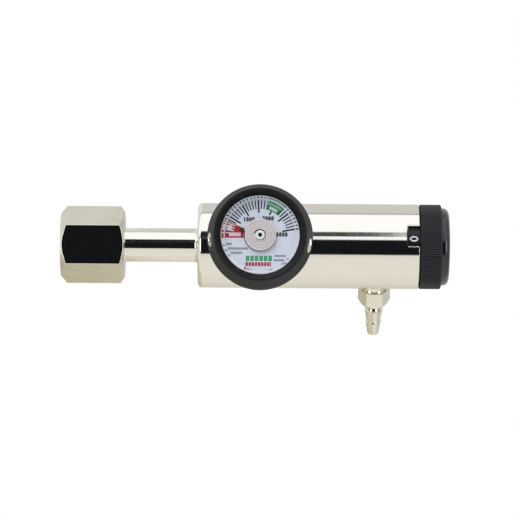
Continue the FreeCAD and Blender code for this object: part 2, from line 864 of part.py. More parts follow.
def gauge_stem():
    """Brass stem: threaded tail, wrench hexagon, post through the case, boss in the dial's middle."""
    boss_end = dial_level + gauge_boss_length
    shaft = turned(
        (gauge_thread_start, 0),
        (gauge_thread_start, gauge_thread_r),
        (gauge_flat, gauge_thread_r),
        (gauge_flat, gauge_post_r),
        (dial_level, gauge_post_r),
        (dial_level, gauge_boss_r),
        (boss_end, gauge_boss_r),
        (boss_end, 0),
    )
    cuts = [
        rod(boss_end - gauge_boss_hole_depth, boss_end, gauge_boss_hole_r),
        rod(gauge_thread_start, dial_level - gauge_boss_hole_depth, gauge_gas_bore_r),
    ]
    stem = shaft.fuse(hexagon(gauge_flat, case_back, gauge_hex_flats)).cut(cuts)
    return stood(stem, gauge_x, gauge_axis)


def gauge_case():
    """Spun metal cup with a bellied side and a rolled front that holds the lens."""
    front_inner_r = case_front_r - case_wall
    case = turned(
        (case_back, gauge_post_r + seat_fit),
        (case_back, case_back_r, case_back_round),
        (case_widest, case_r),
        (case_neck, case_front_r),
        (case_front, case_front_r),
        (case_front, front_inner_r),
        (lens_back, front_inner_r),
        (lens_back, cone_top_r),
        (cone_top, cone_top_r),
        (case_widest, cone_foot_r),
        (case_back + case_wall, case_back_r - case_wall, case_back_round - case_wall),
        (case_back + case_wall, gauge_post_r + seat_fit),
    )
    return stood(case, gauge_x, gauge_axis)


def gauge_dial():
    dial = tube(dial_level, dial_level + dial_thickness, dial_r, gauge_boss_r + contact_gap)
    return stood(dial, gauge_x, gauge_axis)


def tube_arc(centre_y, radius, side, sign):
    """One half turn of the spiral strip's edge, on the side of the strip that sign gives."""
    reach = radius + sign * tube_thickness / 2
    start = Vector(0, centre_y + side * reach, 0)
    through = Vector(0, centre_y, side * reach)
    end = Vector(0, centre_y - side * reach, 0)
    return start, through, end


def bourdon_spiral():
    """Flat spiral pressure tube. Half turns about two centres, half a pitch apart, make the spiral."""
    outer = []
    inner = []
    for i in range(2 * tube_turns):
        side = 1 if i % 2 == 0 else -1
        centre_y = 0 if i % 2 == 0 else tube_pitch / 2
        radius = tube_inner_r + i * tube_pitch / 2
        outer.append(tube_arc(centre_y, radius, side, 1))
        inner.append(tube_arc(centre_y, radius, side, -1))
    edges = [Part.Arc(*arc).toShape() for arc in outer]
    edges.append(Part.makeLine(outer[-1][2], inner[-1][2]))
    edges += [Part.Arc(end, through, start).toShape() for start, through, end in reversed(inner)]
    edges.append(Part.makeLine(inner[0][0], outer[0][0]))
    strip = Part.Face(Part.Wire(edges)).extrude(Vector(tube_width, 0, 0))
    strip.translate(Vector(dial_level + tube_rise, 0, 0))
    strip.rotate(Vector(0, 0, 0), axis_x, pointer_angle)
    return stood(strip, gauge_x, gauge_axis)


def gauge_pointer():
    """Short black pointer on the spiral's outer end."""
    half = pointer_root_width / 2
    level = dial_level + pointer_rise
    corners = [
        Vector(level, tube_outer_r, -half),
        Vector(level, tube_outer_r + pointer_length, 0),
        Vector(level, tube_outer_r, half),
    ]
    blade = Part.Face(Part.makePolygon(corners + corners[:1])).extrude(Vector(pointer_thickness, 0, 0))
    blade.rotate(Vector(0, 0, 0), axis_x, pointer_angle)
    return stood(blade, gauge_x, gauge_axis)


def gauge_lens():
    """Clear moulded lens with a bevelled edge, in the case's rolled front."""
    rim_front = lens_back + lens_rim_thickness
    lens = turned(
        (lens_back, 0),
        (lens_back, lens_rim_r),
        (rim_front, lens_rim_r),
        (rim_front, lens_bevel_r),
        (lens_back + lens_thickness, lens_window_r),
        (lens_back + lens_thickness, 0),
    )
    return stood(lens, gauge_x, gauge_axis)


def gauge_boot():
    """Rubber boot stretched over the case, with a raised front ridge and a hole in each side."""
    inner_back = case_back - contact_gap
    boot_back = case_back - boot_back_wall
    boot = turned(
        (boot_back, boot_back_opening_r),
        (boot_back, case_back_r + boot_wall, case_back_round),
        (case_widest, boot_r, 4 * case_back_round),
        (boot_front, boot_ridge_r, boot_ridge_round),
        (lip_level + contact_gap, boot_lip_r),
        (lip_level, boot_lip_r),
        (lip_level, case_front_r - case_wall),
        (case_front + contact_gap, case_front_r - case_wall),
        (case_front + contact_gap, case_front_r + contact_gap),
        (case_neck, case_front_r + contact_gap),
        (case_widest, case_r + contact_gap),
        (inner_back, case_back_r + contact_gap, case_back_round),
        (inner_back, boot_back_opening_r),
    )
    holes = []
    for angle in boot_hole_angles:
        turn = math.radians(angle)
        away = Vector(0, math.cos(turn), math.sin(turn))
        foot = Vector(case_back + boot_hole_depth, 0, 0) + away * (case_front_r - case_wall)
        holes.append(Part.makeCylinder(boot_hole_r, boot_r, foot, away))
    return stood(boot.cut(holes), gauge_x, gauge_axis)


def hose_barb():
    """Brass outlet: threaded tail, collar, wrench hexagon tapered at its end, two-ring barb."""
    collar_start = barb_flat + barb_gasket_thickness
    hex_start = collar_start + barb_collar_length
    hex_end = hex_start + barb_hex_length
    taper_end = hex_end + barb_taper_length
    first_ring = taper_end + barb_neck_length
    second_ring = first_ring + barb_ring_reach
    tip = second_ring + barb_tip_length
    tail = main_bore_r + moving_gap
    hex_corner_r = barb_hex_flats / math.sqrt(3)
    stem = turned(
        (tail, 0),
        (tail, barb_thread_r),
        (collar_start, barb_thread_r),
        (collar_start, barb_collar_r),
        (hex_start, barb_collar_r),
        (hex_start, barb_neck_r),
        (first_ring, barb_neck_r),
        (first_ring, barb_first_ring_r),
        (second_ring, barb_neck_r),
        (second_ring, barb_second_ring_r),
        (tip, barb_tip_r),
        (tip, 0),
    )
    envelope = turned(
        (hex_start, 0),
        (hex_start, hex_corner_r - barb_hex_bevel),
        (hex_start + barb_hex_bevel / 2, hex_corner_r),
        (hex_end, hex_corner_r),
        (taper_end, barb_neck_r),
        (taper_end, 0),
    )
    wrench = hexagon(hex_start, taper_end, barb_hex_flats, 0.0).common(envelope)
    barb = stem.fuse(wrench).cut(rod(tail, tip, barb_bore_r))
    return stood(barb.removeSplitter(), barb_x, barb_axis)


def barb_gasket():
    gasket = tube(barb_flat, barb_flat + barb_gasket_thickness, barb_collar_r, barb_thread_r + seat_fit)
    return stood(gasket, barb_x, barb_axis)


pieces = [
    inlet_nipple,
    nipple_o_ring,
    inlet_filter,
    inlet_nut,
    nut_friction_ring,
    regulator_body,
    seat_holder,
    valve_seat,
    piston,
    piston_o_ring,
    stem_o_ring,
    piston_spring,
    outlet_block,
    outlet_block_o_rings,
    port_seal,
    orifice_disc,
    selector_bonnet,
    spindle_o_ring,
    selector_spindle,
    detent_ball,
    detent_spring,
    snap_ring,
    number_drum,
    knob_screw,
    flow_knob,
    knob_cap,
    gauge_stem,
    gauge_case,
    gauge_dial,
    bourdon_spiral,
    gauge_pointer,
    gauge_lens,
    gauge_boot,
    hose_barb,
    barb_gasket,
]

os.makedirs("parts", exist_ok=True)
for piece in pieces:
    shape = piece()
    shape.exportStep(f"parts/{piece.__name__}.step")
    print(piece.__name__, len(shape.Solids), shape.isValid(), round(shape.Volume, 1), len(shape.Faces))
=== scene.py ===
import math

import bmesh
import bpy
import numpy as np
from mathutils import Matrix, Vector


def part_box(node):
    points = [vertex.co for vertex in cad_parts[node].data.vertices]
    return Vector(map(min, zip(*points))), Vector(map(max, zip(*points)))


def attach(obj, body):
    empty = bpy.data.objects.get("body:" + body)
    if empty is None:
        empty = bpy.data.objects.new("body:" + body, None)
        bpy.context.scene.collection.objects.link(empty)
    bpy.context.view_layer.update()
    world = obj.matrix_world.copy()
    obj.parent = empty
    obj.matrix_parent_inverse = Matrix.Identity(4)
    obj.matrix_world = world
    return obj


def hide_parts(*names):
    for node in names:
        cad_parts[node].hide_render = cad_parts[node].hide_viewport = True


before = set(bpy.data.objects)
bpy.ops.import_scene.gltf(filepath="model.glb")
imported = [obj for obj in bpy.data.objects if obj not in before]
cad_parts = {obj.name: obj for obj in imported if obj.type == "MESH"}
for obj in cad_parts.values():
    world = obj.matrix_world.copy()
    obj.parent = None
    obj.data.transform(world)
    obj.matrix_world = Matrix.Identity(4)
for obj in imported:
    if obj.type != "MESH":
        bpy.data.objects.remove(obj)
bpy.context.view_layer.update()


# The inlet nipple is turned from brass bar and nickel plated. Its round nose seals in the
# cylinder valve's outlet, the nut turns on its shank, and its tail screws into the barrel.

edge_share = 0.98
largest_rounding = 4
arc_step = 12
pole_width = 1e-6
weld_distance = 1e-7
sliver_width = 1e-8


def extent(node):
    """Lowest and highest corner of a CAD node, in millimetres."""
    low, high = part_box(node)
    return 1000 * np.array(low), 1000 * np.array(high)


def eased(corners, closed=True, edge=0.06):
    """An outline with its corners rounded. A corner is (x, r) or (x, r, rounding), where x and r
    may be arrays with a value for each column round the piece. An arc runs from a to b about the
    corner c, with w the cosine of half its turn and t from 0 to 1:
    (a (1-t)^2 + 2 w c t (1-t) + b t^2) / ((1-t)^2 + 2 w t (1-t) + t^2)."""
    columns = np.broadcast_shapes((1,), *[np.shape(v) for corner in corners for v in corner[:2]])
    places = np.array([[np.broadcast_to(v, columns) for v in corner[:2]] for corner in corners])
    places = np.moveaxis(places.astype(float), 1, 2)
    rows = []
    for i, corner in enumerate(corners):
        here = places[i]
        if not closed and i in (0, len(corners) - 1):
            rows.append(here[None])
            continue
        back = places[i - 1] - here
        ahead = places[(i + 1) % len(corners)] - here
        back_run = np.linalg.norm(back, axis=1, keepdims=True)
        ahead_run = np.linalg.norm(ahead, axis=1, keepdims=True)
        cosine = np.sum(back * ahead, axis=1, keepdims=True) / (back_run * ahead_run)
        half_turn = (math.pi - np.arccos(np.clip(cosine, -1, 1))) / 2
        rounding = corner[2] if len(corner) == 3 else edge
        longest = edge_share * np.minimum(back_run, ahead_run)
        trim = np.minimum(rounding * np.tan(half_turn), longest)
        start = here + back / back_run * trim
        end = here + ahead / ahead_run * trim
        widest_turn = math.degrees(half_turn.max())
        steps = 2 + int(widest_turn * min(rounding, largest_rounding) / arc_step)
        t = np.linspace(0, 1, steps + 1)[:, None, None]
        pull = 2 * np.cos(half_turn) * t * (1 - t)
        arc = start * (1 - t) ** 2 + here * pull + end * t**2
        rows.append(arc / ((1 - t) ** 2 + pull + t**2))
    return np.concatenate(rows)


def even_ring(columns):
    """Angles evenly spaced round a circle."""
    return np.arange(columns) * 2 * math.pi / columns


def spun(outline, around):
    """An outline of (x, r) turned about X: p(i, v) = (x_i, r_i cos v, r_i sin v)."""
    x, r = np.broadcast_arrays(outline[..., 0], outline[..., 1])
    x = np.broadcast_to(x, (len(outline), len(around)))
    return np.stack([x, r * np.cos(around), r * np.sin(around)], axis=-1)


def turned(corners, columns=360, closed=True):
    """A grid of points for a piece turned about X from the corners of its outline."""
    around = even_ring(columns) if isinstance(columns, int) else columns
    return spun(eased(corners, closed), around)


def placed(name, data):
    """A new object at the origin, put into the scene."""
    thing = bpy.data.objects.new(name, data)
    bpy.context.scene.collection.objects.link(thing)
    return thing


def solid(name, *grids):
    """One closed mesh from grids of points in millimetres. Columns join round the piece, and rows
    join too, unless they end on the axis, where the points of a row fall together as a pole."""
    points = []
    faces = []
    first = 0
    for grid in grids:
        rows, columns = grid.shape[:2]
        index = first + np.arange(rows * columns).reshape(rows, columns)
        end_widths = np.ptp(grid[[0, -1]], axis=1)
        if end_widths.max() >= pole_width:
            index = np.vstack([index, index[:1]])
        index = np.hstack([index, index[:, :1]])
        quads = np.stack([index[:-1, :-1], index[1:, :-1], index[1:, 1:], index[:-1, 1:]], axis=-1)
        faces += quads.reshape(-1, 4).tolist()
        points.append(grid.reshape(-1, 3))
        first += rows * columns
    mesh = bpy.data.meshes.new(name)
    mesh.from_pydata((np.concatenate(points) / 1000).tolist(), [], faces)
    work = bmesh.new()
    work.from_mesh(mesh)
    bmesh.ops.remove_doubles(work, verts=work.verts, dist=weld_distance)
    bmesh.ops.dissolve_degenerate(work, edges=work.edges, dist=sliver_width)
    bmesh.ops.recalc_face_normals(work, faces=work.faces)
    if work.calc_volume(signed=True) < 0:
        bmesh.ops.reverse_faces(work, faces=work.faces)
    work.to_mesh(mesh)
    work.free()
    return placed(name, mesh)


def finished(piece, material, slot, body, *nodes, crease=38):
    """Gives a piece its finish and edge shading, puts it on its body and in its nodes' place."""
    piece.data.materials.clear()
    piece.data.materials.append(material)
    piece.data.shade_smooth()
    piece.data.set_sharp_from_angle(angle=math.radians(crease))
    shading = piece.modifiers.new("even_shading", "WEIGHTED_NORMAL")
    shading.keep_sharp = True
    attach(piece, body)
    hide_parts(*nodes)


def pair(operation, reflected=False):
    """An operator of a wire and another term, as one Math node. Reflected, the wire comes second."""
    def joined(wire, other):
        terms = (other, wire) if reflected else (wire, other)
        return wire.math(operation, *terms)
    return joined


class Wire:
    """One output of a shader node. Arithmetic on wires adds the Math nodes that work it out."""

    def __init__(self, tree, socket=None):
        self.tree = tree
        self.socket = socket

    def node(self, kind, settings=None, values=None, out=0):
        """Adds a node: its settings first, then a value or a wire for each socket named."""
        added = self.tree.nodes.new(kind)
        for name, value in (settings or {}).items():
            if name != "stops":
                setattr(added, name, value)
                continue
            elements = added.color_ramp.elements
            while len(elements) < len(value):
                elements.new(1.0)
            for element, (position, colour) in zip(elements, value):
                element.position = position
                element.color = colour
        for name, value in (values or {}).items():
            if isinstance(value, Wire):
                self.tree.links.new(value.socket, added.inputs[name])
            else:
                added.inputs[name].default_value = value
        return Wire(self.tree, added.outputs[out])

    def math(self, operation, *terms):
        """The outcome of one Math node on the given terms."""
        terms = dict(enumerate(terms))
        return self.node("ShaderNodeMath", {"operation": operation}, terms)

    __add__ = pair("ADD")
    __radd__ = pair("ADD", reflected=True)
    __sub__ = pair("SUBTRACT")
    __rsub__ = pair("SUBTRACT", reflected=True)
    __mul__ = pair("MULTIPLY")
    __rmul__ = pair("MULTIPLY", reflected=True)
    __truediv__ = pair("DIVIDE")
    __lt__ = pair("LESS_THAN")
    __gt__ = pair("GREATER_THAN")
    __and__ = pair("MULTIPLY")
    __or__ = pair("MAXIMUM")

    def __abs__(self):
        return self.math("ABSOLUTE", self)

    def tint(self, low, high, blend="MIX"):
        """The colour low where the wire is 0 and high where it is 1. With another blend than MIX,
        high acts on low there."""
        settings = {"data_type": "RGBA", "blend_type": blend}
        return self.node("ShaderNodeMix", settings, {0: self, 6: low, 7: high}, out=2)

    def past(self, start, end):
        """0 where the wire is before start, 1 where it is past end, and a straight change between."""
        values = {"Value": self, "From Min": start, "From Max": end}
        return self.node("ShaderNodeMapRange", {}, values)

    def noise(self, place, size, stretch=(1, 1, 1), detail=3.0, roughness=0.55):
        """Cloudy noise from 0 to 1. Its features are about size millimetres, times the stretch."""
        scale = tuple(1000 / size / s for s in stretch)
        at = self.node("ShaderNodeVectorMath", {"operation": "MULTIPLY"}, {0: place, 1: scale})
        values = {"Vector": at, "Scale": 1.0, "Detail": detail, "Roughness": roughness}
        return self.node("ShaderNodeTexNoise", {}, values)

    def bump(self, height, millimetres, before=None):
        """A normal for a surface whose height rises by a distance where the wire rises by 1."""
        values = {"Height": height, "Distance": millimetres / 1000, "Strength": 1.0}
        if before is not None:
            values["Normal"] = before
        return self.node("ShaderNodeBump", {}, values)

    def principled(self, values):
        """Ends a material's tree with one Principled surface."""
        self.surface(self.node("ShaderNodeBsdfPrincipled", {}, values))

    def surface(self, shader, kind="Material"):
        """Ends a material's tree, or the world's, with a shader."""
        output = self.tree.nodes.new("ShaderNodeOutput" + kind)
        self.tree.links.new(shader.socket, output.inputs["Surface"])


def begin(name):
    """A new material with an empty tree, and a wire to grow its nodes from."""
    material = bpy.data.materials.new(name)
    material.use_nodes = True
    material.node_tree.nodes.clear()
    wire = Wire(material.node_tree)
    place = wire.node("ShaderNodeTexCoord", out="Object")
    return material, wire, place


def paint(red, green, blue):
    """A linear colour from screen values of 0 to 255."""
    screen = np.array([red, green, blue]) / 255
    linear = np.where(screen <= 0.04045, screen / 12.92, ((screen + 0.055) / 1.055) ** 2.4)
    return (*linear.tolist(), 1.0)


def plated(name, turned_along, tarnish=0.35):
    """Bright nickel over turned brass: faint tool marks round the piece, a slow waviness from
    polishing, small pits, and a warm cast where the plating is thin."""
    material, wire, place = begin(name)
    along = [14.0, 14.0, 14.0]
    along[turned_along] = 1.0
    cloud = wire.noise(place, 9.0, detail=2.0)
    lines = wire.noise(place, 0.55, stretch=along, detail=4.0, roughness=0.7)
    specks = wire.noise(place, 0.5, detail=2.0)
    pits = specks.past(0.68, 0.78)
    bright = paint(243, 240, 233)
    warm = paint(232, 226, 210)
    colour = (cloud * tarnish + lines * (0.3 * tarnish)).tint(bright, warm)
    colour = (pits * 0.35).tint(colour, paint(150, 142, 128))
    rough = 0.03 + 0.04 * cloud + 0.04 * lines + 0.12 * pits
    normal = wire.bump(cloud, 0.014)
    normal = wire.bump(lines, 0.0012, normal)
    normal = wire.bump(pits, -0.003, normal)
    values = {"Base Color": colour, "Metallic": 1.0, "Roughness": rough, "Normal": normal}
    wire.principled(values)
    return material


nipple_low, nipple_high = extent("inlet_nipple")
barrel_low, barrel_high = extent("regulator_body")
nose_land = 3.2
nose_round = 5.2
nose_rounding = 0.96 * nose_round
shank_r = 7.15
root_fillet = 1.2
fillet_foot = 0.3 * root_fillet
tail_r = 6.55
bore_r = 1.9
bore_bevel = 0.8
pocket_r = 3.43
pocket_depth = 8.0
nose_r = nipple_high[2]
tip_x = nipple_low[0]
tail_x = nipple_high[0]
barrel_face = barrel_low[0]
nose_arc_foot = nose_r - nose_round
tip_r = nose_arc_foot + math.sqrt(nose_round**2 - (tip_x + nose_land / 2) ** 2)
nose_half_turn = math.asin(-(tip_x + nose_land / 2) / nose_round) / 2
nose_corner_x = -nose_land / 2 - nose_round * math.tan(nose_half_turn)

nickel_turned = plated("nickel_turned", 0)
nipple = solid("nipple_turning", turned([
    (tip_x, bore_r + bore_bevel),
    (tip_x, tip_r, 0.15),
    (nose_corner_x, nose_r, nose_rounding),
    (nose_land / 2, nose_r, 0.3),
    (nose_land / 2 + nose_r - shank_r, shank_r, 0.3),
    (barrel_face - root_fillet, shank_r, 0.3),
    (barrel_face - fillet_foot, shank_r + fillet_foot, root_fillet),
    (barrel_face, shank_r + root_fillet, 0.05),
    (barrel_face, tail_r),
    (tail_x, tail_r, 0.4),
    (tail_x, pocket_r),
    (tail_x - pocket_depth, pocket_r),
    (tail_x - pocket_depth, bore_r),
    (tip_x + bore_bevel, bore_r),
]))
finished(nipple, nickel_turned, "nickel_plate", "regulator", "inlet_nipple")


# The inlet nut is cut from hexagon brass bar, turned to a cone at both ends, bored and threaded,
# then plated. Its flats are bar stock, so they are duller and more mottled than the turned parts.

def hexagon_ring(across_flats, rounding, per_flat=16, turn=0.0):
    """Angles and radii round a hexagon. A flat is the line y = half the width, and a corner is an
    arc, both turned five more times by a sixth of a turn."""
    half = across_flats / 2
    reach = (half - rounding) * math.tan(math.pi / 6)
    flat = np.stack([np.full(per_flat, half), np.linspace(-reach, reach, per_flat)])
    arc = np.linspace(0, math.pi / 3, 6)[1:-1]
    corner = np.stack([half - rounding + rounding * np.cos(arc), reach + rounding * np.sin(arc)])
    y, z = np.hstack([flat, corner])
    angles = (np.arange(6)[:, None] * math.pi / 3 + np.arctan2(z, y) + turn).ravel()
    return angles, np.tile(np.hypot(y, z), 6)


nut_low, nut_high = extent("inlet_nut")
nut_mouth = nut_low[0]
nut_rear = nut_high[0]
nut_flats = 28.575
nut_turn = math.radians(6)
nut_corner_r = nut_flats / math.sqrt(3)
nut_edge_round = 0.45
front_cone = (2.6, 2.9)
rear_cone = (1.75, 2.6)
thread_minor_r = 10.49
thread_major_r = 11.45
thread_length = 16.7
thread_pitch = 25.4 / 14
thread_rows = 126
thread_overlap = 0.05
thread_flank = 1.3
thread_root = 0.15
thread_run_out = 0.9
thread_run_in = 0.4
mouth_bevel = 1.0
relief_r = 11.6
relief_width = 2.05
running_gap = 0.3
seat_r = nose_r + running_gap
hole_r = shank_r + running_gap
hole_bevel = 0.4
nut_shoulder = nut_mouth + thread_length + relief_width
thread_end = nut_mouth + thread_length - (relief_r - thread_minor_r)

nut_ring, nut_skin_r = hexagon_ring(nut_flats, nut_edge_round, turn=nut_turn)
front_r = nut_corner_r - front_cone[1]
rear_r = nut_corner_r - rear_cone[1]
front_slope = front_cone[0] / front_cone[1]
rear_slope = rear_cone[0] / rear_cone[1]
nut_outline = eased([
    (nut_mouth, thread_minor_r + mouth_bevel, 0.05),
    (nut_mouth, front_r, 0.25),
    (nut_mouth + front_slope * (nut_skin_r - front_r), nut_skin_r, 0.35),
    (nut_rear - rear_slope * (nut_skin_r - rear_r), nut_skin_r, 0.35),
    (nut_rear, rear_r, 0.25),
    (nut_rear, hole_r + hole_bevel, 0.05),
    (nut_rear - hole_bevel, hole_r, 0.05),
    (nut_shoulder + seat_r - hole_r, hole_r),
    (nut_shoulder, seat_r),
    (nut_shoulder, relief_r),
    (thread_end + relief_r - thread_minor_r, relief_r),
    (thread_end, thread_minor_r),
], edge=0.08)

# The thread's height at x and angle v is a triangle wave of x over the pitch less v over a whole
# turn, cut off flat at its crest and root, and faded out at both ends.
thread_start = nut_mouth + mouth_bevel
thread_x = np.linspace(thread_end - thread_overlap, thread_start + thread_overlap, thread_rows)
thread_x = thread_x[:, None]
thread_phase = np.mod(thread_x / thread_pitch - nut_ring / (2 * math.pi), 1)
thread_wave = np.clip(thread_flank * np.abs(2 * thread_phase - 1) - thread_root, 0, 1)
thread_fade = np.clip((thread_end - thread_x) / thread_run_out, 0, 1)
thread_fade = thread_fade * np.clip((thread_x - thread_start) / thread_run_in, 0, 1)
thread_r = thread_minor_r + (thread_major_r - thread_minor_r) * thread_wave * thread_fade
nut_thread = np.stack([np.broadcast_to(thread_x, thread_r.shape), thread_r], axis=-1)
nut_profile = np.concatenate([nut_outline, nut_thread])


def bar_stock(name):
    """Nickel over drawn hexagon bar: mottled patches, fine scratches along the bar and specks."""
    material, wire, place = begin(name)
    patches = wire.noise(place, 5.0, stretch=(1.8, 1, 1), detail=6.0, roughness=0.65)
    scratches = wire.noise(place, 0.5, stretch=(9, 1, 1), detail=5.0, roughness=0.75)
    specks = wire.noise(place, 0.8, detail=4.0, roughness=0.7)
    flecks = specks.past(0.62, 0.74)
    colour = patches.tint(paint(240, 238, 232), paint(205, 198, 178))
    colour = (flecks * 0.3).tint(colour, paint(168, 160, 140))
    rough = 0.05 + 0.1 * patches * scratches + 0.16 * flecks
    normal = wire.bump(patches, 0.02)
    normal = wire.bump(scratches, 0.003, normal)
    values = {"Base Color": colour, "Metallic": 1.0, "Roughness": rough, "Normal": normal}
    wire.principled(values)
    return material


nickel_bar = bar_stock("nickel_bar")
nut = solid("nut_forging", spun(nut_profile, nut_ring))
finished(nut, nickel_bar, "nickel_plate", "nut", "inlet_nut", crease=30)


# The barrel is turned from brass bar, bored from both ends, spot-faced for the gauge and the
# barb, milled with a window for the flow numbers, and plated to a mirror.

def stood(grid, x, axis):
    """A grid made along X, stood on the barrel's axis at x. Its Y comes to lie along the barrel."""
    across = np.cross(axis, (1, 0, 0))
    return grid @ np.array([axis, (1, 0, 0), across], float) + np.array([x, 0, 0])


def gauge_depths(node):
    """How far out from the barrel's axis a gauge piece's back and front are, and its radius."""
    low, high = extent(node)
    return -high[1], -low[1], high[2]


def on_gauge(grid):
    """A grid made along X, stood on the barrel's axis as the gauge is. Its X faces the front."""
    return stood(grid, gauge_x, gauge_axis)


def cut_by(piece, *cutters):
    """Takes the cutters' space out of a piece and deletes the cutters."""
    for cutter in cutters:
        hole = piece.modifiers.new("hole", "BOOLEAN")
        hole.operation = "DIFFERENCE"
        hole.solver = "EXACT"
        hole.object = cutter
    bpy.context.view_layer.update()
    whole = piece.evaluated_get(bpy.context.evaluated_depsgraph_get())
    piece.data = bpy.data.meshes.new_from_object(whole)
    piece.modifiers.clear()
    for cutter in cutters:
        bpy.data.objects.remove(cutter)


def drill(start, end, radius, columns=128):
    """The space that a drill or an end mill takes out, from start to end along X."""
    sharp = 0.001
    corners = [(start, 0), (start, radius, sharp), (end, radius, sharp), (end, 0)]
    return turned(corners, columns, closed=False)


barrel_end = barrel_high[0]
barrel_r = barrel_high[2]
left_round = 1.9
right_bevel = 0.5
inlet_bore_r = 6.6
guide_r = 3.55
main_bore_r = 13.0
drum_bore_r = 15.7
drum_bore_x = barrel_end - 5.7
inlet_bore_end = barrel_face + 37.5
main_bore_x = inlet_bore_end + 4.6
fit = 0.05
snap_low, snap_high = extent("snap_ring")
groove_r = snap_high[2] + fit
gauge_low, gauge_high = extent("gauge_stem")
gauge_thread_start, boss_end, _ = gauge_depths("gauge_stem")
gauge_x = (gauge_low[0] + gauge_high[0]) / 2
gauge_axis = (0, -1, 0)
gauge_spot_r = 7.2
gauge_flat = math.sqrt(barrel_r**2 - gauge_spot_r**2)
barb_low, barb_high = extent("hose_barb")
barb_x = (barb_low[0] + barb_high[0]) / 2
barb_turn = math.radians(130)
barb_axis = (0, -math.cos(barb_turn), -math.sin(barb_turn))
barb_spot_r = 6.0
barb_flat = math.sqrt(barrel_r**2 - barb_spot_r**2)
port_r = 4.88
gas_hole_r = 0.7
vent_r = 0.9
vent_x = barrel_face + 49.5

barrel = solid("barrel_turning", turned([
    (barrel_face, inlet_bore_r),
    (barrel_face, barrel_r, left_round),
    (barrel_end - right_bevel, barrel_r),
    (barrel_end, barrel_r - right_bevel),
    (barrel_end, drum_bore_r),
    (drum_bore_x, drum_bore_r),
    (drum_bore_x, main_bore_r),
    (snap_high[0] + fit, main_bore_r),
    (snap_high[0] + fit, groove_r),
    (snap_low[0] - fit, groove_r),
    (snap_low[0] - fit, main_bore_r),
    (main_bore_x, main_bore_r),
    (main_bore_x, guide_r),
    (inlet_bore_end, guide_r),
    (inlet_bore_end, inlet_bore_r),
], columns=480))

# The window's side walls are parallel. At a radius R and a distance s across the window, the
# point is at the window's angle plus the arcsine of s / R. The mouth flares into a bevel, and
# the corners where it opens through the barrel's end are rounded off.
window_length = 5.3
window_half = 4.45
window_corner = 0.6
window_mouth_round = 1.0
window_bevel = 0.5
window_angle = math.radians(9.2)
window_points = 480
window_root = main_bore_r + 0.6
window_past = 0.1
pole_past = 1.0
pole_levels = (main_bore_r - 0.4, 1.4 * barrel_r)


def evenly(outline, count):
    """A closed outline as so many points, evenly spaced along it."""
    whole = np.vstack([outline, outline[:1]])
    run = np.concatenate([[0], np.cumsum(np.hypot(*np.diff(whole, axis=0).T))])
    at = np.arange(count) * run[-1] / count
    return np.stack([np.interp(at, run, whole[:, axis]) for axis in (0, 1)], axis=-1)


window_start = barrel_end - window_length
window_beyond = barrel_end + window_length
window_mouth = barrel_end + 0.3
window_outline = evenly(eased([
    (window_start, -window_half, window_corner),
    (window_start, window_half, window_corner),
    (window_mouth, window_half, window_mouth_round),
    (window_mouth, 2 * window_half),
    (window_beyond, 2 * window_half),
    (window_beyond, -2 * window_half),
    (window_mouth, -2 * window_half),
    (window_mouth, -window_half, window_mouth_round),
])[:, 0], window_points)
window_along = np.roll(window_outline, -1, axis=0) - np.roll(window_outline, 1, axis=0)
window_out = np.stack([-window_along[:, 1], window_along[:, 0]], axis=-1)
window_out /= np.hypot(*window_along.T)[:, None]
window_levels = np.array([window_root, barrel_r - window_bevel, barrel_r + window_past])
window_growth = np.array([0.0, 0.0, window_bevel + window_past])
window_plan = window_outline + window_growth[:, None, None] * window_out
window_turn = window_angle + np.arcsin(window_plan[..., 1] / window_levels[:, None])


def on_drum_side(x, level, turn):
    """The point at x, at a radius and an angle round the barrel from the side that faces front."""
    x = np.broadcast_to(x, np.shape(turn))
    return np.stack([x, -level * np.cos(turn), level * np.sin(turn)], axis=-1)


window_skin = on_drum_side(window_plan[..., 0], window_levels[:, None], window_turn)
inner_pole, outer_pole = [
    np.broadcast_to(on_drum_side(barrel_end + pole_past, level, window_angle), window_skin[:1].shape)
    for level in pole_levels
]

port_start = gauge_thread_start - 0.3
vent_start = main_bore_r - 1
outside = 2 * barrel_r
spot_columns = 256
cut_by(
    barrel,
    solid("window_cutter", np.concatenate([inner_pole, window_skin, outer_pole])),
    solid("gauge_port", on_gauge(drill(port_start, barrel_r, port_r))),
    solid("gauge_gas_hole", on_gauge(drill(0, gauge_thread_start, gas_hole_r))),
    solid("gauge_spot", on_gauge(drill(gauge_flat, outside, gauge_spot_r, spot_columns))),
    solid("barb_port", stood(drill(0, barrel_r, port_r), barb_x, barb_axis)),
    solid("barb_spot", stood(drill(barb_flat, outside, barb_spot_r, spot_columns), barb_x, barb_axis)),
    solid("vent", stood(drill(vent_start, outside, vent_r), vent_x, (0, 1, 0))),
)
finished(barrel, nickel_turned, "nickel_plate", "regulator", "regulator_body", crease=30)


# The hose barb is one brass turning, milled to a wrench hexagon and plated. Two flared rings
# hold the tubing, and the thread draws the collar down on its gasket.

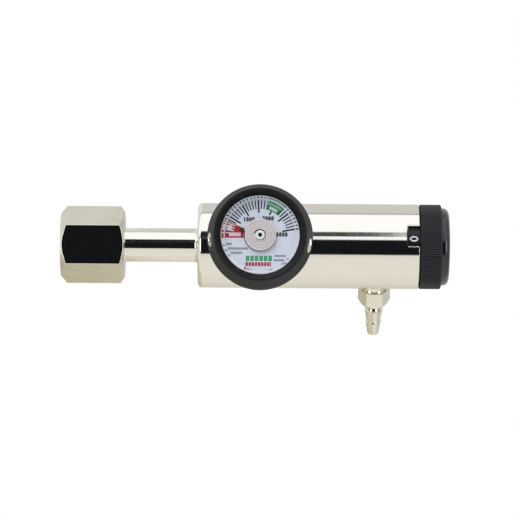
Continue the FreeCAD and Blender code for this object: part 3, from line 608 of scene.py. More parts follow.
barb_edge_round = 0.25
barb_per_flat = 26
barb_gasket = 0.5
barb_thread_r = 4.85
barb_collar_r = 5.2
barb_collar_length = 3.4
barb_flats = 12.0
barb_hex_length = 5.9
barb_hex_bevel = 0.4
barb_taper_length = 5.0
barb_neck_r = 2.9
barb_neck_length = 0.4
barb_ring_reach = 6.1
barb_first_r = 3.93
barb_second_r = 3.31
barb_tip_r = 2.48
barb_tip_length = 6.4
barb_bore_r = 1.3
barb_tail = main_bore_r + 0.3
collar_start = barb_flat + barb_gasket
hex_start = collar_start + barb_collar_length
hex_end = hex_start + barb_hex_length
taper_end = hex_end + barb_taper_length
first_ring = taper_end + barb_neck_length
second_ring = first_ring + barb_ring_reach
barb_tip = second_ring + barb_tip_length
barb_hex_turn = math.pi / 6
barb_ring, barb_skin_r = hexagon_ring(barb_flats, barb_edge_round, barb_per_flat, barb_hex_turn)
barb_corner_r = barb_flats / math.sqrt(3)
least_bevel = 0.02
bevel_foot_r = np.minimum(barb_corner_r - barb_hex_bevel, barb_skin_r - least_bevel)
bevel_end = hex_start + (barb_skin_r - bevel_foot_r) / 2
taper_slope = barb_taper_length / (barb_corner_r - barb_neck_r)
taper_start = hex_end + taper_slope * (barb_corner_r - barb_skin_r)

nickel_barb = plated("nickel_barb", 2, tarnish=0.8)
barb = solid("barb_turning", stood(turned([
    (barb_tail, barb_bore_r),
    (barb_tail, barb_thread_r, 0.4),
    (collar_start, barb_thread_r),
    (collar_start, barb_collar_r, 0.15),
    (hex_start, barb_collar_r),
    (hex_start, bevel_foot_r),
    (bevel_end, barb_skin_r, 0.1),
    (taper_start, barb_skin_r, 0.2),
    (taper_end, barb_neck_r, 0.4),
    (first_ring, barb_neck_r, 0.15),
    (first_ring, barb_first_r, 0.12),
    (second_ring, barb_neck_r, 0.1),
    (second_ring, barb_second_r, 0.12),
    (barb_tip, barb_tip_r, 0.25),
    (barb_tip, barb_bore_r, 0.15),
], barb_ring), barb_x, barb_axis))
finished(barb, nickel_barb, "nickel_plate", "regulator", "hose_barb", crease=30)


# The number drum is turned from aluminium and black anodised. Its rim carries the flow numbers,
# engraved and filled with white paint, and one of them shows in the barrel's window.

def plastic(name, colour, light, roughness, grain, grain_height):
    """A dull moulded or anodised black, with a fine even grain and slow changes in its gloss."""
    material, wire, place = begin(name)
    fine = wire.noise(place, grain, detail=3.0)
    slow = wire.noise(place, 7.0, detail=3.0)
    values = {
        "Base Color": (0.6 * slow + 0.4 * fine).tint(colour, light),
        "Roughness": roughness + 0.12 * (slow - 0.5) + 0.08 * (fine - 0.5),
        "Normal": wire.bump(fine, grain_height),
    }
    wire.principled(values)
    return material


drum_low, drum_high = extent("number_drum")
knob_low, knob_high = extent("flow_knob")
drum_rim_r = drum_high[2]
drum_pad_r = 11.9
drum_rim_x = drum_bore_x + 0.3
drum_recess_r = (9.6, 13.7)
drum_recess_depth = 3.2
drum_hub_r = 8.0
drum_bore = 2.53
knob_back = knob_low[0]

black_anodised = plastic("black_anodised", paint(8, 8, 11), paint(15, 15, 19), 0.34, 0.3, 0.0015)
drum = solid("drum_turning", turned([
    (drum_low[0], drum_bore),
    (drum_low[0], drum_pad_r),
    (drum_rim_x, drum_pad_r),
    (drum_rim_x, drum_rim_r, 0.15),
    (knob_back, drum_rim_r, 0.15),
    (knob_back, drum_recess_r[1]),
    (knob_back - drum_recess_depth, drum_recess_r[1]),
    (knob_back - drum_recess_depth, drum_recess_r[0]),
    (knob_back, drum_recess_r[0]),
    (knob_back, drum_hub_r),
    (drum_high[0], drum_hub_r),
    (drum_high[0], drum_bore),
]))
finished(drum, black_anodised, "black_anodised", "knob", "number_drum")

# A number is a line of strokes. Each stroke is a path in units of the number's height, with x
# across and y up, carried as a flat ribbon whose ends and corners are round.
number_height = 3.55
number_width = 2.35
narrow_width = 1.9
number_gap = 0.45
number_stroke = 0.56


def arc_path(centre, radii, start, end, steps=20):
    """Points on an ellipse from one angle to another, in degrees."""
    t = np.radians(np.linspace(start, end, steps))
    return np.stack([centre[0] + radii[0] * np.cos(t), centre[1] + radii[1] * np.sin(t)], axis=-1)


def digit_paths(digit):
    """The strokes of one digit in a box of 1 by 1, from straight lines and parts of ellipses."""
    if digit == "0":
        return [arc_path((0.5, 0.5), (0.5, 0.5), 0, 360, 40)]
    if digit == "1":
        return [[(0.2, 0.78), (0.5, 1), (0.5, 0)]]
    if digit == "2":
        return [np.vstack([arc_path((0.5, 0.72), (0.46, 0.28), 170, -30), [(0, 0), (1, 0)]])]
    if digit == "3":
        upper = arc_path((0.45, 0.76), (0.42, 0.24), 160, -90)
        return [np.vstack([upper, arc_path((0.45, 0.27), (0.5, 0.25), 90, -160)])]
    if digit == "4":
        return [[(0.75, 0), (0.75, 1), (0, 0.3), (1, 0.3)]]
    if digit == "5":
        bowl = arc_path((0.45, 0.32), (0.5, 0.32), 130, -150)
        return [np.vstack([[(0.9, 1), (0.15, 1), (0.08, 0.55)], bowl])]
    if digit == "6":
        loop = arc_path((0.5, 0.32), (0.45, 0.32), 180, 540, 36)
        return [np.vstack([arc_path((0.9, 0.35), (0.85, 0.65), 95, 180), loop])]
    lower = arc_path((0.5, 0.26), (0.48, 0.26), 0, 360, 36)
    return [lower, arc_path((0.5, 0.76), (0.42, 0.24), 0, 360, 36)]


def strokes(text, height, width, gap, stroke, joint_sides=12):
    """A number's strokes, centred, as (x, y) in millimetres: a rectangle for each straight run,
    and a round joint at each point between runs."""
    runs = []
    joints = []
    whole = len(text) * (width + gap) - gap
    around = even_ring(joint_sides)
    rim = stroke / 2 * np.stack([np.cos(around), np.sin(around)], axis=-1)
    for i, digit in enumerate(text):
        corner = (i * (width + gap) - whole / 2 + stroke / 2, (stroke - height) / 2)
        for path in digit_paths(digit):
            path = np.array(path, float) * (width - stroke, height - stroke) + corner
            ahead = np.diff(path, axis=0)
            side = np.stack([-ahead[:, 1], ahead[:, 0]], axis=-1)
            side *= stroke / 2 / np.hypot(*ahead.T)[:, None]
            back, front = path[:-1], path[1:]
            runs.append(np.stack([back + side, back - side, front - side, front + side], axis=1))
            joints.append(path[:, None] + rim)
    return np.concatenate(runs), np.concatenate(joints)


def printed(name, shapes, material, body):
    """A flat piece from groups of faces, where a group holds faces of as many corners each."""
    points = np.concatenate([group.reshape(-1, 3) for group in shapes]) / 1000
    faces = []
    first = 0
    for group in shapes:
        count, corners = group.shape[:2]
        faces += (first + np.arange(count * corners).reshape(count, corners)).tolist()
        first += count * corners
    mesh = bpy.data.meshes.new(name)
    mesh.from_pydata(points.tolist(), [], faces)
    mesh.materials.append(material)
    piece = placed(name, mesh)
    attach(piece, body)


def ink(name, colour, worn_colour, grain, roughness):
    """Printing ink or filling paint, a little uneven."""
    material, wire, place = begin(name)
    worn = wire.noise(place, grain)
    wire.principled({"Base Color": worn.tint(colour, worn_colour), "Roughness": roughness})
    return material


white_fill = ink("white_fill", paint(246, 244, 246), paint(222, 220, 222), 0.6, 0.45)
flow_steps = ["0", "1", "2", "3", "4", "5", "6", "8", "10", "12", "15", "25"]
number_turn = math.radians(6.4)
number_step = 2 * math.pi / len(flow_steps)
number_x = barrel_end - window_length / 2
number_level = drum_rim_r + 0.03
number_shapes = []
for i, flow in enumerate(flow_steps):
    width = number_width if len(flow) == 1 else narrow_width
    for flat in strokes(flow, number_height, width, number_gap, number_stroke):
        turn = number_turn + i * number_step + flat[..., 0] / number_level
        number_shapes.append(on_drum_side(number_x - flat[..., 1], number_level, turn))
printed("flow_numbers", number_shapes, white_fill, "knob")


# The flow knob is moulded in black plastic, with fine ribs all round its grip. It is keyed to
# the drum's hub and held by a screw, which the cap hides.

knob_front = knob_high[0]
knob_r = knob_high[2]
rib_count = 112
rib_depth = 0.42
rib_columns = 8
knob_edge = 0.4
knob_web = 2.7
knob_recess_r = 15.0
cap_low, cap_high = extent("knob_cap")
cap_r = cap_high[2]
cap_seat = cap_low[0]
knob_ring = even_ring(rib_count * rib_columns)
rib_sharpness = 3
rib_r = knob_r - rib_depth * np.abs(np.cos(rib_count / 2 * knob_ring)) ** rib_sharpness

knob_plastic = plastic("knob_plastic", paint(27, 28, 33), paint(38, 39, 45), 0.42, 0.25, 0.002)
knob = solid("knob_moulding", turned([
    (knob_back, drum_hub_r + fit),
    (knob_back, rib_r, 0.2),
    (knob_front - knob_edge, rib_r, 0.3),
    (knob_front, rib_r - knob_edge, 0.15),
    (knob_front, cap_r + fit),
    (cap_seat, cap_r + fit),
    (cap_seat, knob_recess_r),
    (knob_back + knob_web, knob_recess_r),
    (knob_back + knob_web, drum_hub_r + fit),
], knob_ring))
finished(knob, knob_plastic, "knob_plastic", "knob", "flow_knob")


# The cap is a thin shell moulded in glossy black plastic. It snaps into the knob's recess, and
# its shallow dome hides the screw.

cap_crown = 0.8
cap_edge_round = 2.4
cap_wall = 1.6
cap_inner_x = knob_front + 3.1 - cap_wall
cap_ball_r = (cap_r**2 + cap_crown**2) / (2 * cap_crown)
dome_rows = 9
dome_r = np.linspace(0, cap_r - 0.4, dome_rows)
dome = [(cap_high[0] - r**2 / (2 * cap_ball_r), r) for r in dome_r]
dome[-1] = (dome[-1][0], cap_r, cap_edge_round)

cap_gloss, wire, place = begin("cap_gloss")
ripple = wire.noise(place, 6.0, detail=1.5)
dust = wire.noise(place, 0.5, detail=3.0)
values = {
    "Base Color": dust.tint(paint(18, 18, 21), paint(27, 27, 31)),
    "Roughness": 0.14 + 0.1 * dust,
    "Normal": wire.bump(ripple, 0.02),
    "Coat Weight": 0.5,
    "Coat Roughness": 0.08,
}
wire.principled(values)
cap = solid("cap_moulding", turned([
    *dome,
    (cap_seat, cap_r),
    (cap_seat, cap_r - cap_wall),
    (cap_inner_x, cap_r - cap_wall, 1.2),
    (cap_inner_x, 0),
], 256, closed=False))
finished(cap, cap_gloss, "cap_plastic", "knob", "knob_cap")


# The gauge's stem is brass: its thread screws into the barrel, its post carries the case, and its
# boss stands in the middle of the dial, where the pressure tube is soldered to it.

stem_flats = 11.1
stem_thread_r = 4.85
stem_post_r = 4.4
boss_r = 2.0
boss_hole_r = 0.85
boss_hole_depth = 1.0
dial_level, dial_face, dial_r = gauge_depths("gauge_dial")
case_back, case_front, case_r = gauge_depths("gauge_case")
stem_ring, stem_skin_r = hexagon_ring(stem_flats, rounding=0.25, per_flat=12)
stem = solid("stem_turning", on_gauge(turned([
    (dial_level - boss_hole_depth, 0),
    (dial_level - boss_hole_depth, gas_hole_r),
    (gauge_thread_start, gas_hole_r),
    (gauge_thread_start, stem_thread_r, 0.4),
    (gauge_flat, stem_thread_r),
    (gauge_flat, stem_skin_r),
    (case_back, stem_skin_r),
    (case_back, stem_post_r),
    (dial_level, stem_post_r),
    (dial_level, boss_r),
    (boss_end, boss_r, 0.35),
    (boss_end, boss_hole_r, 0.12),
    (boss_end - boss_hole_depth, boss_hole_r),
    (boss_end - boss_hole_depth, 0),
], stem_ring, closed=False)))
nickel_gauge = plated("nickel_gauge", 1)


def about_gauge(wire, place):
    """Where a point is on the dial: right and up from its middle, and how far from it, in mm."""
    right = wire.node("ShaderNodeSeparateXYZ", {}, {0: place}, out="X") * 1000 - gauge_x
    up = wire.node("ShaderNodeSeparateXYZ", {}, {0: place}, out="Z") * 1000
    return right, up, wire.math("SQRT", right * right + up * up)


stem_brass, wire, place = begin("stem_brass")
right, up, radius = about_gauge(wire, place)
stain = wire.noise(place, 1.5, detail=3.0)
on_boss = radius < boss_r + 0.1
# The boss's face round its hole is solder tinning, painted near white and made nearly non-metallic: a
# painted highlight where plain metal would mirror the dark room in front.
tinning_and_painted_highlight = (radius > boss_hole_r) & on_boss
colour = stain.tint(paint(238, 233, 222), paint(206, 190, 150))
colour = tinning_and_painted_highlight.tint(colour, paint(246, 243, 240))
# The hole in the boss is painted dark red-brown: painted shade inside the hole.
colour = (radius < boss_hole_r).tint(colour, paint(52, 34, 36))
values = {
    "Base Color": colour,
    "Metallic": 1 - 0.85 * on_boss,
    "Roughness": 0.25 + 0.2 * stain,
    "Normal": wire.bump(stain, 0.01),
}
wire.principled(values)
finished(stem, stem_brass, "gauge_plate", "regulator", "gauge_stem", crease=30)


# The gauge's case is spun from brass sheet and plated: a bellied cup whose front is rolled over
# the lens. It shows through the boot's side holes and from behind.

case_wall = 0.9
case_front_r = 18.6
case_back_r = 19.9
case_widest = case_back + 13.6
case_neck = case_back + 19.2
case_ledge_r = case_front_r - case_wall - 0.8
lens_back, lens_front, lens_rim_r = gauge_depths("gauge_lens")
case_hole_r = stem_post_r + 0.03
case = solid("case_spinning", on_gauge(turned([
    (case_back, case_hole_r),
    (case_back, case_back_r, 2.0),
    (case_widest, case_r, 2.0),
    (case_neck, case_front_r, 0.5),
    (case_front, case_front_r, 0.3),
    (case_front, case_front_r - case_wall, 0.3),
    (lens_back, case_front_r - case_wall),
    (lens_back, case_ledge_r),
    (case_neck - case_wall / 2, case_ledge_r),
    (case_widest, case_r - case_wall),
    (case_back + case_wall, case_back_r - case_wall, 1.1),
    (case_back + case_wall, case_hole_r),
])))
finished(case, nickel_gauge, "gauge_plate", "regulator", "gauge_case")

# A domed boss on each side of the case fills the boot's hole there. It leans forward as the
# case does, and its crown is a part of a ball: height = crown - r^2 / (2 ball radius).
boss_turns = (-11, 185)
boss_level = case_back + 16.6
boss_lean = math.radians(16)
boss_base_r = 2.95
boss_crown = 0.6
boss_foot = -1.6
boss_centre_r = 20.95
ball_r = (boss_base_r**2 + boss_crown**2) / (2 * boss_crown)


def beside_case(grid, turn, lean, level, reach):
    """A grid made along X, stood at an angle round the dial, leaning forward about its place."""
    turn = math.radians(turn)
    outward = np.array([0, math.cos(turn), math.sin(turn)])
    forward = np.array([1.0, 0, 0])
    away = math.cos(lean) * outward + math.sin(lean) * forward
    up = math.cos(lean) * forward - math.sin(lean) * outward
    leaning = grid @ np.array([away, up, np.cross(away, up)])
    return on_gauge(leaning + reach * outward + level * forward)


boss_r_steps = np.linspace(0, boss_base_r, dome_rows)
boss_dome = np.stack([boss_crown - boss_r_steps**2 / (2 * ball_r), boss_r_steps], axis=-1)
boss_side = np.array([[boss_foot, boss_base_r], [boss_foot, 0]])
boss_grid = spun(np.concatenate([boss_dome, boss_side])[:, None], even_ring(72))
bosses = [beside_case(boss_grid, turn, boss_lean, boss_level, boss_centre_r) for turn in boss_turns]
case_bosses = solid("case_bosses", *bosses)
finished(case_bosses, nickel_gauge, "gauge_plate", "regulator")


# The dial is a sheet-metal disc, enamelled pale blue-white and printed with a pressure scale from
# 0 to 3000, a green full zone, a red empty zone and rows of plain marks.

scale_start = 175.8
scale_sweep = 165.2
scale_divisions = 30
division = scale_sweep / scale_divisions
scale_outer_r = 14.7
minor_inner_r = 11.1
major_inner_r = 9.4
minor_half = 0.25
major_half = 0.34
print_shift = (-0.2, 0.35)
# Radius inside which the dial is painted dark as shade under the spiral.
spiral_shade_r = 6.7
navy = paint(12, 14, 38)
enamel = paint(230, 234, 241)
enamel_shade = paint(218, 224, 234)
fill_green = paint(28, 138, 72)
empty_red = paint(186, 26, 36)

dial_print, wire, place = begin("dial_print")
u, w, radius = about_gauge(wire, place)
angle = wire.math("ARCTAN2", w, u) * (180 / math.pi)
steps = (scale_start - angle) / division
nearest = wire.math("ROUND", steps)
from_tick = abs(steps - nearest) * radius * math.radians(division)
on_scale = (nearest > -0.5) & (nearest < scale_divisions + 0.5)
fifth = abs(nearest / 5 - wire.math("ROUND", nearest / 5)) < 0.05
minor = (from_tick < minor_half) & (radius > minor_inner_r)
major = (from_tick < major_half) & (radius > major_inner_r) & fifth
ticks = (minor | major) & (radius < scale_outer_r) & on_scale
across = u - print_shift[0]
upward = w - print_shift[1]


def bar(left, right, bottom, top):
    """A rectangle on the dial, as 1 inside and 0 outside."""
    return (across > left) & (across < right) & (upward > bottom) & (upward < top)


def row(left, right, bottom, top, pitch):
    """A row of plain marks: a bar with narrow gaps at an even pitch."""
    within = wire.math("FRACT", (across - left) / pitch)
    return bar(left, right, bottom, top) & (within > 0.18)


in_scale = (radius > minor_inner_r) & (radius < scale_outer_r)
green = (angle > 50.3) & (angle < 77.5) & in_scale
green_lines = (abs(radius - 14.0) < 0.12) | (abs(radius - 13.5) < 0.08)
green_marks = (abs(radius - 12.2) < 0.6) & (abs(angle - 63.8) < 8.5)
green_marks = green_marks & (wire.math("FRACT", angle / 4.2) > 0.25)
red = ((angle > 156.3) | (angle < -150)) & (radius > 6.8) & (radius < 14.6) & (w > -1.1)
red_box = bar(-13.6, -11.6, 1.8, 3.9)
red_marks = row(-12.8, -7.9, -0.75, 0.75, 0.82)
red_ticks = (from_tick < 0.22) & (radius > minor_inner_r) & (angle > 156)
white_marks = red & (red_box | red_marks | red_ticks)
green_row = row(-6.0, 5.2, -11.1, -8.85, 1.87)
red_row = row(-6.0, 4.9, -13.2, -11.5, 1.28)
small_rows = (
    row(-14.0, -11.6, -4.5, -3.5, 0.8)
    | row(-13.2, -4.8, -6.4, -5.4, 0.8)
    | row(-11.9, -7.2, -8.2, -7.2, 0.8)
    | row(6.1, 10.9, -9.35, -8.45, 0.7)
    | row(5.7, 10.3, -11.15, -10.25, 0.7)
)
mottle = wire.noise(place, 4.0, detail=2.0)
colour = mottle.tint(enamel, enamel_shade)
# Under the spiral the dial is painted dark brown: painted shade for the gaps between the spiral's
# turns.
colour = (radius < spiral_shade_r).tint(colour, paint(30, 24, 24))
colour = red.tint(colour, empty_red)
colour = ticks.tint(colour, navy)
colour = green.tint(colour, fill_green)
colour = (green & (green_lines | green_marks)).tint(colour, paint(226, 240, 232))
colour = white_marks.tint(colour, paint(232, 228, 232))
colour = green_row.tint(colour, paint(70, 165, 118))
colour = red_row.tint(colour, paint(182, 52, 78))
colour = (small_rows * 0.75).tint(colour, paint(70, 72, 96))
values = {"Base Color": colour, "Roughness": 0.4 + 0.1 * mottle}
wire.principled(values)

dial = solid("dial_disc", on_gauge(turned([
    (dial_level, boss_r + fit),
    (dial_level, dial_r),
    (dial_face, dial_r),
    (dial_face, boss_r + fit),
])))
finished(dial, dial_print, "dial_enamel", "regulator", "gauge_dial")

dial_ink = ink("dial_ink", paint(8, 10, 30), paint(24, 27, 52), 0.8, 0.5)
ink_level = dial_face + 0.02
scale_numbers = {"1000": (-4.65, 6.64), "2000": (3.28, 7.14), "3000": (9.0, 0.4)}
scale_shapes = []
for number, (right, up) in scale_numbers.items():
    for flat in strokes(number, height=1.95, width=1.06, gap=0.17, stroke=0.46):
        level = np.full(flat.shape[:-1], -ink_level)
        spread = [gauge_x + right + flat[..., 0], level, up + flat[..., 1]]
        scale_shapes.append(np.stack(spread, axis=-1))
printed("scale_numbers", scale_shapes, dial_ink, "regulator")


# The pressure tube is bronze, drawn flat and wound into a spiral of seven turns. Pressure unwinds
# it, and the pointer soldered to its outer end swings over the dial.

tube_inner_r = 2.3
tube_pitch = 0.63
tube_turns = 7
tube_thickness = 0.5
tube_width = 1.2
tube_edge = 0.12
steps_a_turn = 72
spiral_back = gauge_depths("bourdon_spiral")[0]
spiral_front = spiral_back + tube_width
pointer_angle = math.radians(163)

# The strip's middle is at radius inner + pitch * turns at each angle, and its section is a
# rounded rectangle of (depth, radius) carried round it.
section = eased([
    (spiral_back, -tube_thickness / 2, tube_edge),
    (spiral_front, -tube_thickness / 2, tube_edge),
    (spiral_front, tube_thickness / 2, tube_edge),
    (spiral_back, tube_thickness / 2, tube_edge),
])[:, 0]
wound = np.linspace(0, tube_turns * 2 * math.pi, tube_turns * steps_a_turn + 1)[:, None]
wound_r = tube_inner_r + tube_pitch * wound / (2 * math.pi) + section[:, 1]
wound_turn = wound + pointer_angle
strip = np.stack([
    np.broadcast_to(section[:, 0], wound_r.shape),
    wound_r * np.cos(wound_turn),
    wound_r * np.sin(wound_turn),
], axis=-1)
first, last = [np.broadcast_to(strip[end].mean(axis=0), strip[:1].shape) for end in (0, -1)]
spiral = solid("spiral_tube", on_gauge(np.concatenate([first, strip, last])))

tube_bronze, wire, place = begin("tube_bronze")
heat = wire.noise(place, 2.2, detail=2.0)
right, up, radius = about_gauge(wire, place)
# Across each turn of the strip the colour darkens towards its edges: painted shade in the gaps between
# the turns.
turns = (radius - tube_inner_r) / tube_pitch
turns = turns - (wire.math("ARCTAN2", up, right) - pointer_angle) / (2 * math.pi)
from_middle = abs(wire.math("FRACT", turns + 0.5) - 0.5)
edge_painted_shade = from_middle.past(0.27, 0.4)
colour = heat.tint(paint(255, 248, 245), paint(246, 233, 229))
values = {
    "Base Color": edge_painted_shade.tint(colour, paint(138, 112, 106)),
    "Metallic": 0.1,
    "Roughness": 0.42 + 0.15 * heat,
    "Normal": wire.bump(heat, 0.01),
}
wire.principled(values)
finished(spiral, tube_bronze, "tube_bronze", "pointer", "bourdon_spiral")


# The pointer is a short blade cut from thin sheet and painted black. Its foot is soldered to the
# spiral's outer end.

pointer_back, pointer_front, _ = gauge_depths("gauge_pointer")
pointer_root = tube_inner_r + tube_turns * tube_pitch + tube_thickness / 2
pointer_length = 3.1
pointer_half = 0.85
blade = eased([
    (pointer_root, -pointer_half, 0.1),
    (pointer_root + pointer_length, 0, 0.08),
    (pointer_root, pointer_half, 0.1),
])[:, 0]
blade_centre = blade.mean(axis=0)
blade_edge = 0.04
inset = blade + (blade_centre - blade) * blade_edge
pole = blade_centre + 0 * blade
levels = [pointer_back, pointer_back, pointer_back + blade_edge]
levels += [pointer_front - blade_edge, pointer_front, pointer_front]
plans = [pole, inset, blade, blade, inset, pole]
flat = np.stack([
    np.column_stack([
        np.full(len(blade), level),
        plan[:, 0] * math.cos(pointer_angle) - plan[:, 1] * math.sin(pointer_angle),
        plan[:, 0] * math.sin(pointer_angle) + plan[:, 1] * math.cos(pointer_angle),
    ])
    for level, plan in zip(levels, plans)
])
pointer = solid("pointer_blade", on_gauge(flat))
pointer_black = plastic("pointer_black", paint(14, 14, 16), paint(24, 24, 26), 0.5, 0.2, 0.001)
finished(pointer, pointer_black, "pointer_black", "pointer", "gauge_pointer")


# The lens is moulded in clear plastic, with a rim held by the case. A small step and a bevel
# stand round its window, and the bevel shows the dial's edge a second time.

lens_rim = 0.9
lens_bevel_r = lens_rim_r - 1.25
lens_window_r = lens_bevel_r - 1.35
lens_riser_r = lens_bevel_r - 0.1
lens_riser = (lens_front - lens_back - lens_rim) / 2

# Two more rings keep the window's shading flat beside the bevel.
lens = solid("lens_moulding", on_gauge(turned([
    (lens_back, 0),
    (lens_back, lens_rim_r - 0.6),
    (lens_back, lens_rim_r, 0.1),
    (lens_back + lens_rim, lens_rim_r, 0.1),
    (lens_back + lens_rim, lens_riser_r),
    (lens_back + lens_rim + lens_riser, lens_riser_r, 0.05),
    (lens_front, lens_window_r, 0.12),
    (lens_front, lens_window_r - 0.4),
    (lens_front, lens_window_r - 3.0),
    (lens_front, 0),
], 256, closed=False)))

clear_plastic, wire, place = begin("clear_plastic")
haze = wire.noise(place, 3.0, detail=3.0)
values = {
    "Base Color": haze.tint((0.985, 0.99, 1.0, 1.0), (0.96, 0.97, 0.985, 1.0)),
    "Roughness": 0.01 + 0.03 * haze,
    "Transmission Weight": 1.0,
    "IOR": 1.49,
}
glass = wire.node("ShaderNodeBsdfPrincipled", {}, values)
light_way = wire.node("ShaderNodeBsdfTransparent", {}, {"Color": (0.95, 0.96, 0.975, 1.0)})
shadow_ray = wire.node("ShaderNodeLightPath", out="Is Shadow Ray")
diffuse_ray = wire.node("ShaderNodeLightPath", out="Is Diffuse Ray")
let_through = shadow_ray | diffuse_ray
wire.surface(wire.node("ShaderNodeMixShader", {}, {0: let_through, 1: glass, 2: light_way}))
finished(lens, clear_plastic, "lens", "regulator", "gauge_lens")


# The boot is moulded rubber, stretched over the case to guard it from knocks. It has a raised
# ridge in front, a lip over the lens's rim and a hole in each side.

boot_wall = 1.15
boot_back = gauge_depths("gauge_boot")[0]
boot_front = case_front + 2.2
boot_r = case_r + boot_wall
boot_ridge_r = case_front_r + 0.65
boot_lip_r = lens_bevel_r - fit
boot_opening_r = 13.5
lip_level = lens_back + lens_rim + fit
boot_hole_r = 3.1

rubber, wire, place = begin("boot_rubber")
fine = wire.noise(place, 0.35, detail=4.0, roughness=0.6)
slow = wire.noise(place, 6.0, detail=4.0)
bloom = slow.past(0.45, 0.75)
specks = wire.noise(place, 0.7, detail=5.0)
dust = specks.past(0.66, 0.76)
right, up, radius = about_gauge(wire, place)
# Inside the ridge, the slope down to the lip is painted nearly black: painted shade on the inner slope,
# which faces the dark front.
inner_slope_painted_shade = radius < boot_ridge_r - 0.2
colour = (bloom * 0.5 + dust * 0.5).tint(paint(30, 31, 34), paint(58, 59, 61))
colour = inner_slope_painted_shade.tint(colour, paint(9, 10, 12))
values = {
    "Base Color": colour,
    "Roughness": 0.46 + 0.16 * slow + 0.1 * fine,
    "Specular IOR Level": 0.28,
    "Normal": wire.bump(fine, 0.006),
}
wire.principled(values)
boot = solid("boot_moulding", on_gauge(turned([
    (boot_back, boot_opening_r, 0.4),
    (boot_back, case_back_r + boot_wall, 2.0),
    (case_widest, boot_r, 8.0),
    (boot_front, boot_ridge_r, 0.7),
    (lip_level + fit, boot_lip_r, 0.03),
    (lip_level, boot_lip_r, 0.01),
    (lip_level, case_front_r - case_wall),
    (case_front + fit, case_front_r - case_wall),
    (case_front + fit, case_front_r + fit),
    (case_neck, case_front_r + fit),
    (case_widest, case_r + fit),
    (case_back - fit, case_back_r + fit, 2.0),
    (case_back - fit, boot_opening_r),
], 480)))

boot_hole = drill(case_front_r - case_wall, boot_r + 2, boot_hole_r)
cut_by(boot, *[
    solid("boot_hole", beside_case(boot_hole, turn, 0.0, boss_level, 0.0))
    for turn in boss_turns
])
finished(boot, rubber, "boot_rubber", "regulator", "gauge_boot")


# Inside the barrel are brass valve parts, steel springs and rubber seals. They are the CAD's own
# pieces, finished as the real ones are.

def inner_metal(name, bright, dull, roughness):
    """A machined metal without plating, with faint tool marks and stains."""
    material, wire, place = begin(name)
    stains = wire.noise(place, 3.0, detail=4.0)
    marks = wire.noise(place, 0.3, stretch=(1, 12, 12), detail=3.0)
    values = {
        "Base Color": stains.tint(bright, dull),
        "Metallic": 1.0,
        "Roughness": roughness + 0.15 * marks,
        "Normal": wire.bump(marks, 0.002),
    }
    wire.principled(values)
    return material


def inner_soft(name, colour, light, roughness, grain):
    """A rubber or plastic without shine, with a fine grain."""
    material, wire, place = begin(name)
    fine = wire.noise(place, grain, detail=3.0)
    values = {
        "Base Color": fine.tint(colour, light),
        "Roughness": roughness + 0.15 * fine,
        "Normal": wire.bump(fine, 0.004),
    }
    wire.principled(values)
    return material


brass = inner_metal("machined_brass", paint(232, 200, 126), paint(206, 168, 92), 0.24)
steel = inner_metal("spring_steel", paint(206, 206, 208), paint(170, 170, 172), 0.22)
sintered = inner_metal("sintered_bronze", paint(196, 142, 92), paint(150, 98, 60), 0.55)
seal = inner_soft("seal_rubber", paint(22, 22, 23), paint(36, 36, 37), 0.55, 0.4)
seat_plastic = inner_soft("seat_plastic", paint(232, 228, 214), paint(214, 208, 190), 0.4, 0.8)
seal_parts = ["nipple_o_ring", "nut_friction_ring", "piston_o_ring", "stem_o_ring", "port_seal"]
seal_parts += ["outlet_block_o_rings", "spindle_o_ring", "barb_gasket"]
brass_parts = ["seat_holder", "piston", "outlet_block", "selector_bonnet", "selector_spindle"]
steel_parts = ["piston_spring", "detent_spring", "orifice_disc", "detent_ball", "snap_ring"]
steel_parts += ["knob_screw"]
finishes = [
    (seal, seal_parts),
    (brass, brass_parts),
    (steel, steel_parts),
    (sintered, ["inlet_filter"]),
    (seat_plastic, ["valve_seat"]),
]
for material, nodes in finishes:
    for node in nodes:
        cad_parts[node].data.materials.clear()
        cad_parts[node].data.materials.append(material)


# The studio is a white sweep with a large soft lamp. Polished metal sees the room round the
# sweep: a white ceiling, a dark wall behind the camera, and the warm pale floor below.

world = bpy.data.worlds.new("studio")
bpy.context.scene.world = world
world.use_nodes = True
world.node_tree.nodes.clear()
wire = Wire(world.node_tree)
way = wire.node("ShaderNodeTexCoord", out="Generated")
x, y, z = (wire.node("ShaderNodeSeparateXYZ", {}, {0: way}, out=axis) for axis in "XYZ")
elevation = wire.math("ARCTAN2", z, -1 * y) * (180 / math.pi)

# The room's colours in linear light, and where each begins, in degrees up from level ahead.
white = (1.13, 1.15, 1.20, 1.0)
strip = (0.007, 0.0085, 0.011, 1.0)
beam = (0.02, 0.021, 0.026, 1.0)
floor_far = (0.70, 0.67, 0.60, 1.0)
floor_near = (0.86, 0.845, 0.79, 1.0)
grey = (0.67, 0.67, 0.66, 1.0)
back = (0.60, 0.59, 0.57, 1.0)
below = [(-180, back), (-168, floor_far), (-150, floor_far), (-126, (0.80, 0.78, 0.72, 1)),
         (-80, floor_near), (-40, (0.83, 0.82, 0.77, 1)), (-30, (0.76, 0.745, 0.68, 1)), (-28.3, strip)]
above = [(90, white), (92, (0.36, 0.36, 0.355, 1)), (94.5, (0.42, 0.42, 0.415, 1)), (97, grey),
         (140, grey), (168, back), (180, back)]
gap = [(11.0, strip), (12.0, white), (20.2, white), (21.0, beam), (32.2, beam), (33.2, white)]
no_gap = [(10.8, strip), (22, strip), (32, beam), (33.4, white)]
no_beam = [(10.8, strip), (11.8, white), (33.4, white)]


def room(middle):
    """The room's colours all the way round, with a list of stops for what is ahead. A stop is at
    an angle in degrees, where 0 is level towards the camera and 90 is up."""
    stops = [((degrees + 180) / 360, colour) for degrees, colour in below + middle + above]
    return wire.node("ShaderNodeValToRGB", {"stops": stops}, {0: (elevation + 180) / 360})


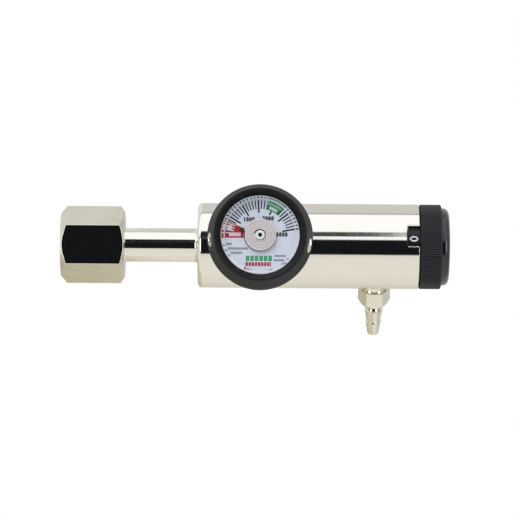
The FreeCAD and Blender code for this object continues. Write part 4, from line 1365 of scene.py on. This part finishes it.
# From left to right the wall ahead is whole, then has a gap below a beam, then has no beam. The
# far left is darker low down and lighter high up, and the ends of the room are pale. Lamp panels
# stand at both sides.
seen = x.past(0.002, 0.012).tint(room(no_gap), room(gap))
seen = x.past(0.040, 0.052).tint(seen, room(no_beam))
at_left = (-1 * x).past(0.034, 0.038)
seen = (at_left & (elevation < -90)).tint(seen, (0.80, 0.77, 0.66, 1), "MULTIPLY")
seen = (at_left & (elevation > 97)).tint(seen, (1.22, 1.22, 1.2, 1), "MULTIPLY")
sideways = abs(x)
seen = sideways.past(0.90, 0.98).tint(seen, (1.0, 1.0, 0.98, 1))
seen = x.past(0.50, 0.70).tint(seen, (0.62, 0.62, 0.61, 1))
panel = sideways.past(0.50, 0.55) & (-1 * sideways).past(-0.80, -0.75)
low_panel = panel & elevation.past(-27, -23) & (-1 * elevation).past(-17, -13)
high_panel = panel & elevation.past(18, 22) & (-1 * elevation).past(-52, -48)
seen = (low_panel + 0.2 * high_panel).tint(seen, (4.0, 4.0, 4.0, 1))
glossy_ray = wire.node("ShaderNodeLightPath", out="Is Glossy Ray")
camera_ray = wire.node("ShaderNodeLightPath", out="Is Camera Ray")
ambient = (0.5 + 0.5 * z).tint((0.55, 0.55, 0.57, 1), (0.93, 0.94, 0.96, 1))
colour = glossy_ray.tint(ambient, seen)
colour = camera_ray.tint(colour, (1, 1, 1, 1))
background = wire.node("ShaderNodeBackground", {}, {"Color": colour, "Strength": 1.0})
wire.surface(background, "World")

floor_level = -1.2
floor_half = 6.0
mesh = bpy.data.meshes.new("floor")
corners = floor_half * np.array([(-1, -1), (1, -1), (1, 1), (-1, 1)])
mesh.from_pydata([(a, b, floor_level) for a, b in corners.tolist()], [], [(0, 1, 2, 3)])
floor = placed("floor", mesh)
paper, wire, place = begin("floor_paper")
lit = wire.node("ShaderNodeBsdfDiffuse", {}, {"Color": (0.8, 0.8, 0.8, 1)})
glow = wire.node("ShaderNodeEmission", {}, {"Color": (1, 1, 1, 1), "Strength": 0.36})
brighter = wire.node("ShaderNodeAddShader", {}, {0: lit, 1: glow})
camera_ray = wire.node("ShaderNodeLightPath", out="Is Camera Ray")
wire.surface(wire.node("ShaderNodeMixShader", {}, {0: camera_ray, 1: lit, 2: brighter}))
floor.data.materials.append(paper)
floor.visible_glossy = False

middle = np.array([gauge_x - 1.0, 0.5, -5.0]) / 1000
lamp = bpy.data.lights.new("softbox", "AREA")
lamp.shape = "DISK"
lamp.size = 1.2
lamp.energy = 14.0
softbox = placed("softbox", lamp)
softbox.location = (-0.45, -0.9, 1.2)


def aim(thing, target, roll=0.0):
    """Turns a lamp or camera so that it looks at a point, rolled about its line of sight."""
    look = Vector(target) - thing.location
    turn = look.to_track_quat("-Z", "Y").to_matrix().to_4x4() @ Matrix.Rotation(roll, 4, "Z")
    thing.rotation_euler = turn.to_euler()


aim(softbox, middle)
softbox.visible_glossy = False
softbox.visible_camera = False


# The camera stands in front, a little below the barrel's height, as far off as the photograph's
# weak perspective shows.

camera_distance = 1.408
camera_elevation = math.radians(-6)
view_width = 0.2198
camera_roll = math.radians(0.41)
target = np.array([66.7, 0.527, -5.012]) / 1000
camera_data = bpy.data.cameras.new("camera")
camera_data.angle = 2 * math.atan(view_width / 2 / camera_distance)
camera = placed("camera", camera_data)
sight = np.array([0, -math.cos(camera_elevation), math.sin(camera_elevation)])
camera.location = target + camera_distance * sight
aim(camera, target, camera_roll)
bpy.context.scene.camera = camera
bpy.context.scene.view_settings.view_transform = "Standard"
